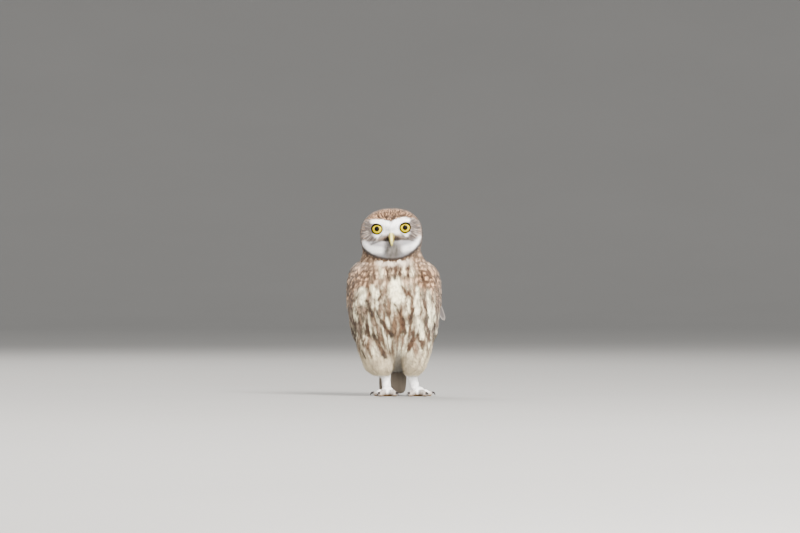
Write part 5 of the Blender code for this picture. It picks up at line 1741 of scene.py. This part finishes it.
def make_cover(name, side_name, draws, material):
    """Feathers over the wing's shoulder, or over its leading edge from the flank."""
    side, cover = SIDES[side_name], COVERS[name]
    coat = cover.coat
    height, turn = cover_roots(cover, draws)
    count = len(height)
    shares = np.linspace(0, 1, coat.rows)
    lengths = varied(coat.length, 0.12, count, draws)
    heights = height[:, None] - lengths[:, None] * shares
    drift = np.interp(heights, *wing_edge("leading")) - np.interp(height, *wing_edge("leading"))[:, None]
    lean = draws.normal(0, coat.lean, count)[:, None] * lengths[:, None] * shares
    turns = turn[:, None] + cover.follow * drift + np.degrees(lean / BODY_RADIUS)
    rise, inside = wing_rise(heights, turns)
    rise = rise + 0.8 + cover.over * inside * smooth(*SHOULDER_TOP, heights)
    rise = rise + rise_curve(coat.rows, -1.0, 0.9)[None, :] * varied(1, 0.1, count, draws)[:, None]
    angles = side * np.radians(turns)
    lines = bed_point(heights, angles)
    level = bed_point(heights, angles + 0.02) - bed_point(heights, angles - 0.02)
    up = bed_point(heights + 1.0, angles) - bed_point(heights - 1.0, angles)
    outward = unit(np.cross(level, up))
    ragged = 1 + draws.normal(0, coat.ragged, (count, coat.rows))
    vanes = blades(
        f"cover_{name}_{side_name}", lines + outward * rise[..., None], outward,
        varied(coat.half_width, 0.12, count, draws), 0.2, SLIM_SECTION, coat.tip, coat.droop,
        draws.normal(0, 0.15, count), ragged,
    )
    labels = np.full(count, LABELS.index("body"))
    marks = None
    if name == "shoulder":
        strengths = 0.9 * (draws.random(count) < 0.36) * (0.6 + 0.4 * draws.random(count))
        marks = Marks(np.tile(SHOULDER_SPOT, (count, 1)), strengths, 0.5)
    shade_blades(vanes, count, labels, draws, coat, marks)
    corner_map(vanes.obj, "OFBake", patches(unwrapped(lines[:, 0], labels), vanes))
    finish_piece(vanes.obj, material)


# Plumes under the tail: from the vent to this share of the tail's length
UNDERTAIL = Coat("body_feathers", 1.9, 20.0, 2.6, edge=0.5, ragged=0.2, tip=0.4)
UNDERTAIL_ENDS = (0.35, 0.62)


def make_undertail(skin, draws, material):
    """Long loose plumes that hang from the vent along the tail's underside."""
    coat = UNDERTAIL
    places, normals, labels = skin.scattered(40000, draws)
    keep = (labels == LABELS.index("body")) & (places[:, 2] < 60) & (places[:, 1] > 12) & (np.abs(places[:, 0]) < 22)
    places, normals, labels = places[keep], normals[keep], labels[keep]
    kept = spaced(places, np.full(len(places), coat.gap))
    roots, outward, labels = places[kept], normals[kept], labels[kept]
    count = len(roots)
    shares = np.linspace(0, 1, coat.rows)[None, :, None]
    ends = tail_point(draws.uniform(*UNDERTAIL_ENDS, count), np.clip(roots[:, 0] / 22, -0.9, 0.9))
    ends[:, 1] -= draws.uniform(2.0, 7.0, count)
    way = unit(ends - roots) * np.minimum(np.linalg.norm(ends - roots, axis=1), coat.length)[:, None]
    lines = roots[:, None] + way[:, None] * shares + outward[:, None] * 1.6 * np.sin(math.pi * shares * 0.8)
    ragged = 1 + draws.normal(0, coat.ragged, (count, coat.rows))
    faces = np.repeat(outward[:, None], coat.rows, 1)
    vanes = blades("coat_undertail", lines, faces, varied(coat.half_width, 0.15, count, draws), 0.2, SLIM_SECTION,
                   coat.tip, coat.droop, draws.normal(0, 0.2, count), ragged)
    # Each plume's own tone, darker towards its root as painted shade where the plumes overlap.
    tones = varied(1, 0.05, count, draws)[vanes.owner] * (0.85 + 0.15 * smooth(0, 0.5, vanes.along))
    point_colours(vanes.obj, "Tint", np.clip(VENT * tones[:, None], 0, 1))
    corner_map(vanes.obj, "Vane", np.stack((0.5 + 0.5 * vanes.place, vanes.along), 1))
    corner_map(vanes.obj, "OFBake", patches(unwrapped(roots, labels), vanes))
    finish_piece(vanes.obj, material)


# Studio: the camera's distance and lens give the photograph's scale of 1.12 mm to a pixel
PIXEL_SIZE = 1.12
FRAME_WIDTH = 800
FRAME_HEIGHT = 533
FLOOR_ROW = 396.0
MIDDLE_COLUMN = 394.0
CAMERA_DISTANCE = 6.0
SENSOR_WIDTH = 36.0


def make_camera():
    """Level with the middle of the picture, with the owl's feet low in the frame."""
    data = bpy.data.cameras.new("camera")
    camera = bpy.data.objects.new("camera", data)
    bpy.context.scene.collection.objects.link(camera)
    width = FRAME_WIDTH * PIXEL_SIZE * MM
    data.sensor_width = SENSOR_WIDTH
    data.lens = SENSOR_WIDTH * CAMERA_DISTANCE / width
    data.clip_end = 50
    x = (FRAME_WIDTH / 2 - MIDDLE_COLUMN) * PIXEL_SIZE + ORIGIN[0]
    z = (FLOOR_ROW - FRAME_HEIGHT / 2) * PIXEL_SIZE
    camera.location = (x * MM, -CAMERA_DISTANCE, z * MM)
    camera.rotation_euler = (math.pi / 2, 0, 0)
    bpy.context.scene.camera = camera


LIGHT_COLOUR = (1.0, 0.955, 0.9)


def make_lights():
    """A wide soft light over the front, weaker ones from the side and from low in front, and a soft rim."""
    for name, place, size, power in (
        ("key", (1.3, -2.2, 2.3), 1.3, 490),
        ("fill", (-2.2, -1.8, 1.2), 2.4, 55),
        ("low", (0.8, -3.6, 0.5), 1.3, 220),
        ("rim", (-0.8, 2.0, 2.0), 1.6, 120),
    ):
        data = bpy.data.lights.new(name, "AREA")
        data.size = size
        data.energy = power
        data.color = LIGHT_COLOUR
        light = bpy.data.objects.new(name, data)
        bpy.context.scene.collection.objects.link(light)
        light.location = place
        aim = Vector((0, 0, 0.11)) - Vector(place)
        light.rotation_euler = aim.to_track_quat("-Z", "Y").to_euler()
    world = bpy.data.worlds.new("studio")
    world.use_nodes = True
    background = world.node_tree.nodes["Background"]
    background.inputs["Color"].default_value = (1.0, 0.985, 0.96, 1)
    background.inputs["Strength"].default_value = 1.0
    bpy.context.scene.world = world


# Floor: flat out to the first radius, then rising in a sweep to the second, in metres
FLOOR_FLAT = 6.6
FLOOR_EDGE = 14.0
FLOOR_RISE = 6.0
FLOOR_RINGS = 24
FLOOR_SIDES = 96


def make_floor():
    """A plain pale floor that sweeps up to a wall all round, far from the owl."""
    radii = np.concatenate(([0.5, 2.0, 4.0], np.linspace(FLOOR_FLAT, FLOOR_EDGE, FLOOR_RINGS))) / MM
    turns = np.linspace(0, 2 * math.pi, FLOOR_SIDES, endpoint=False)
    rise = np.clip((radii * MM - FLOOR_FLAT) / (FLOOR_EDGE - FLOOR_FLAT), 0, 1) ** 2 * FLOOR_RISE / MM
    rings = np.stack(
        (radii[:, None] * np.cos(turns), radii[:, None] * np.sin(turns), rise[:, None] + 0 * turns), -1
    ).reshape(-1, 3)
    middle = np.arange(FLOOR_SIDES)[None, :]
    floor = new_mesh("floor", rings - ORIGIN, [ring_faces(len(radii), FLOOR_SIDES)[:, ::-1], middle])
    nodes = Nodes("pale_floor")
    grain = nodes.noise(nodes.position(), 3.0)
    floor.data.materials.append(nodes.finish(nodes.mix((0.19, 0.19, 0.188), (0.205, 0.205, 0.203), grain), 0.8))


def main():
    draws = np.random.default_rng(7)
    make_camera()
    make_lights()
    make_floor()
    soft, firm = soft_feather_material(), firm_feather_material()
    skin_obj, *surface = make_skin()
    skin = Ground(*surface)
    # The skin takes the coat's markings, darkened by a tenth as painted shade under the feathers.
    point_colours(skin_obj, "Tint", painted(skin.points, skin.labels) * 0.9)
    finish_piece(skin_obj, skin_material(), SKIN_NODES)
    make_coat(skin, draws, soft)
    make_fuzz(skin, draws, soft)
    make_undertail(skin, draws, soft)
    for side in SIDES:
        make_wing(side, draws, firm)
        for name in COVERS:
            make_cover(name, side, draws, soft)
    make_loose_feather(draws, firm)
    make_tail(draws, firm)
    eye, lids = eye_material(), lid_material()
    for side in SIDES:
        make_eye(side, eye)
        make_lids(side, lids)
    make_bill(bill_material())
    make_feet(draws, toe_material(), claw_material(), soft)


main()
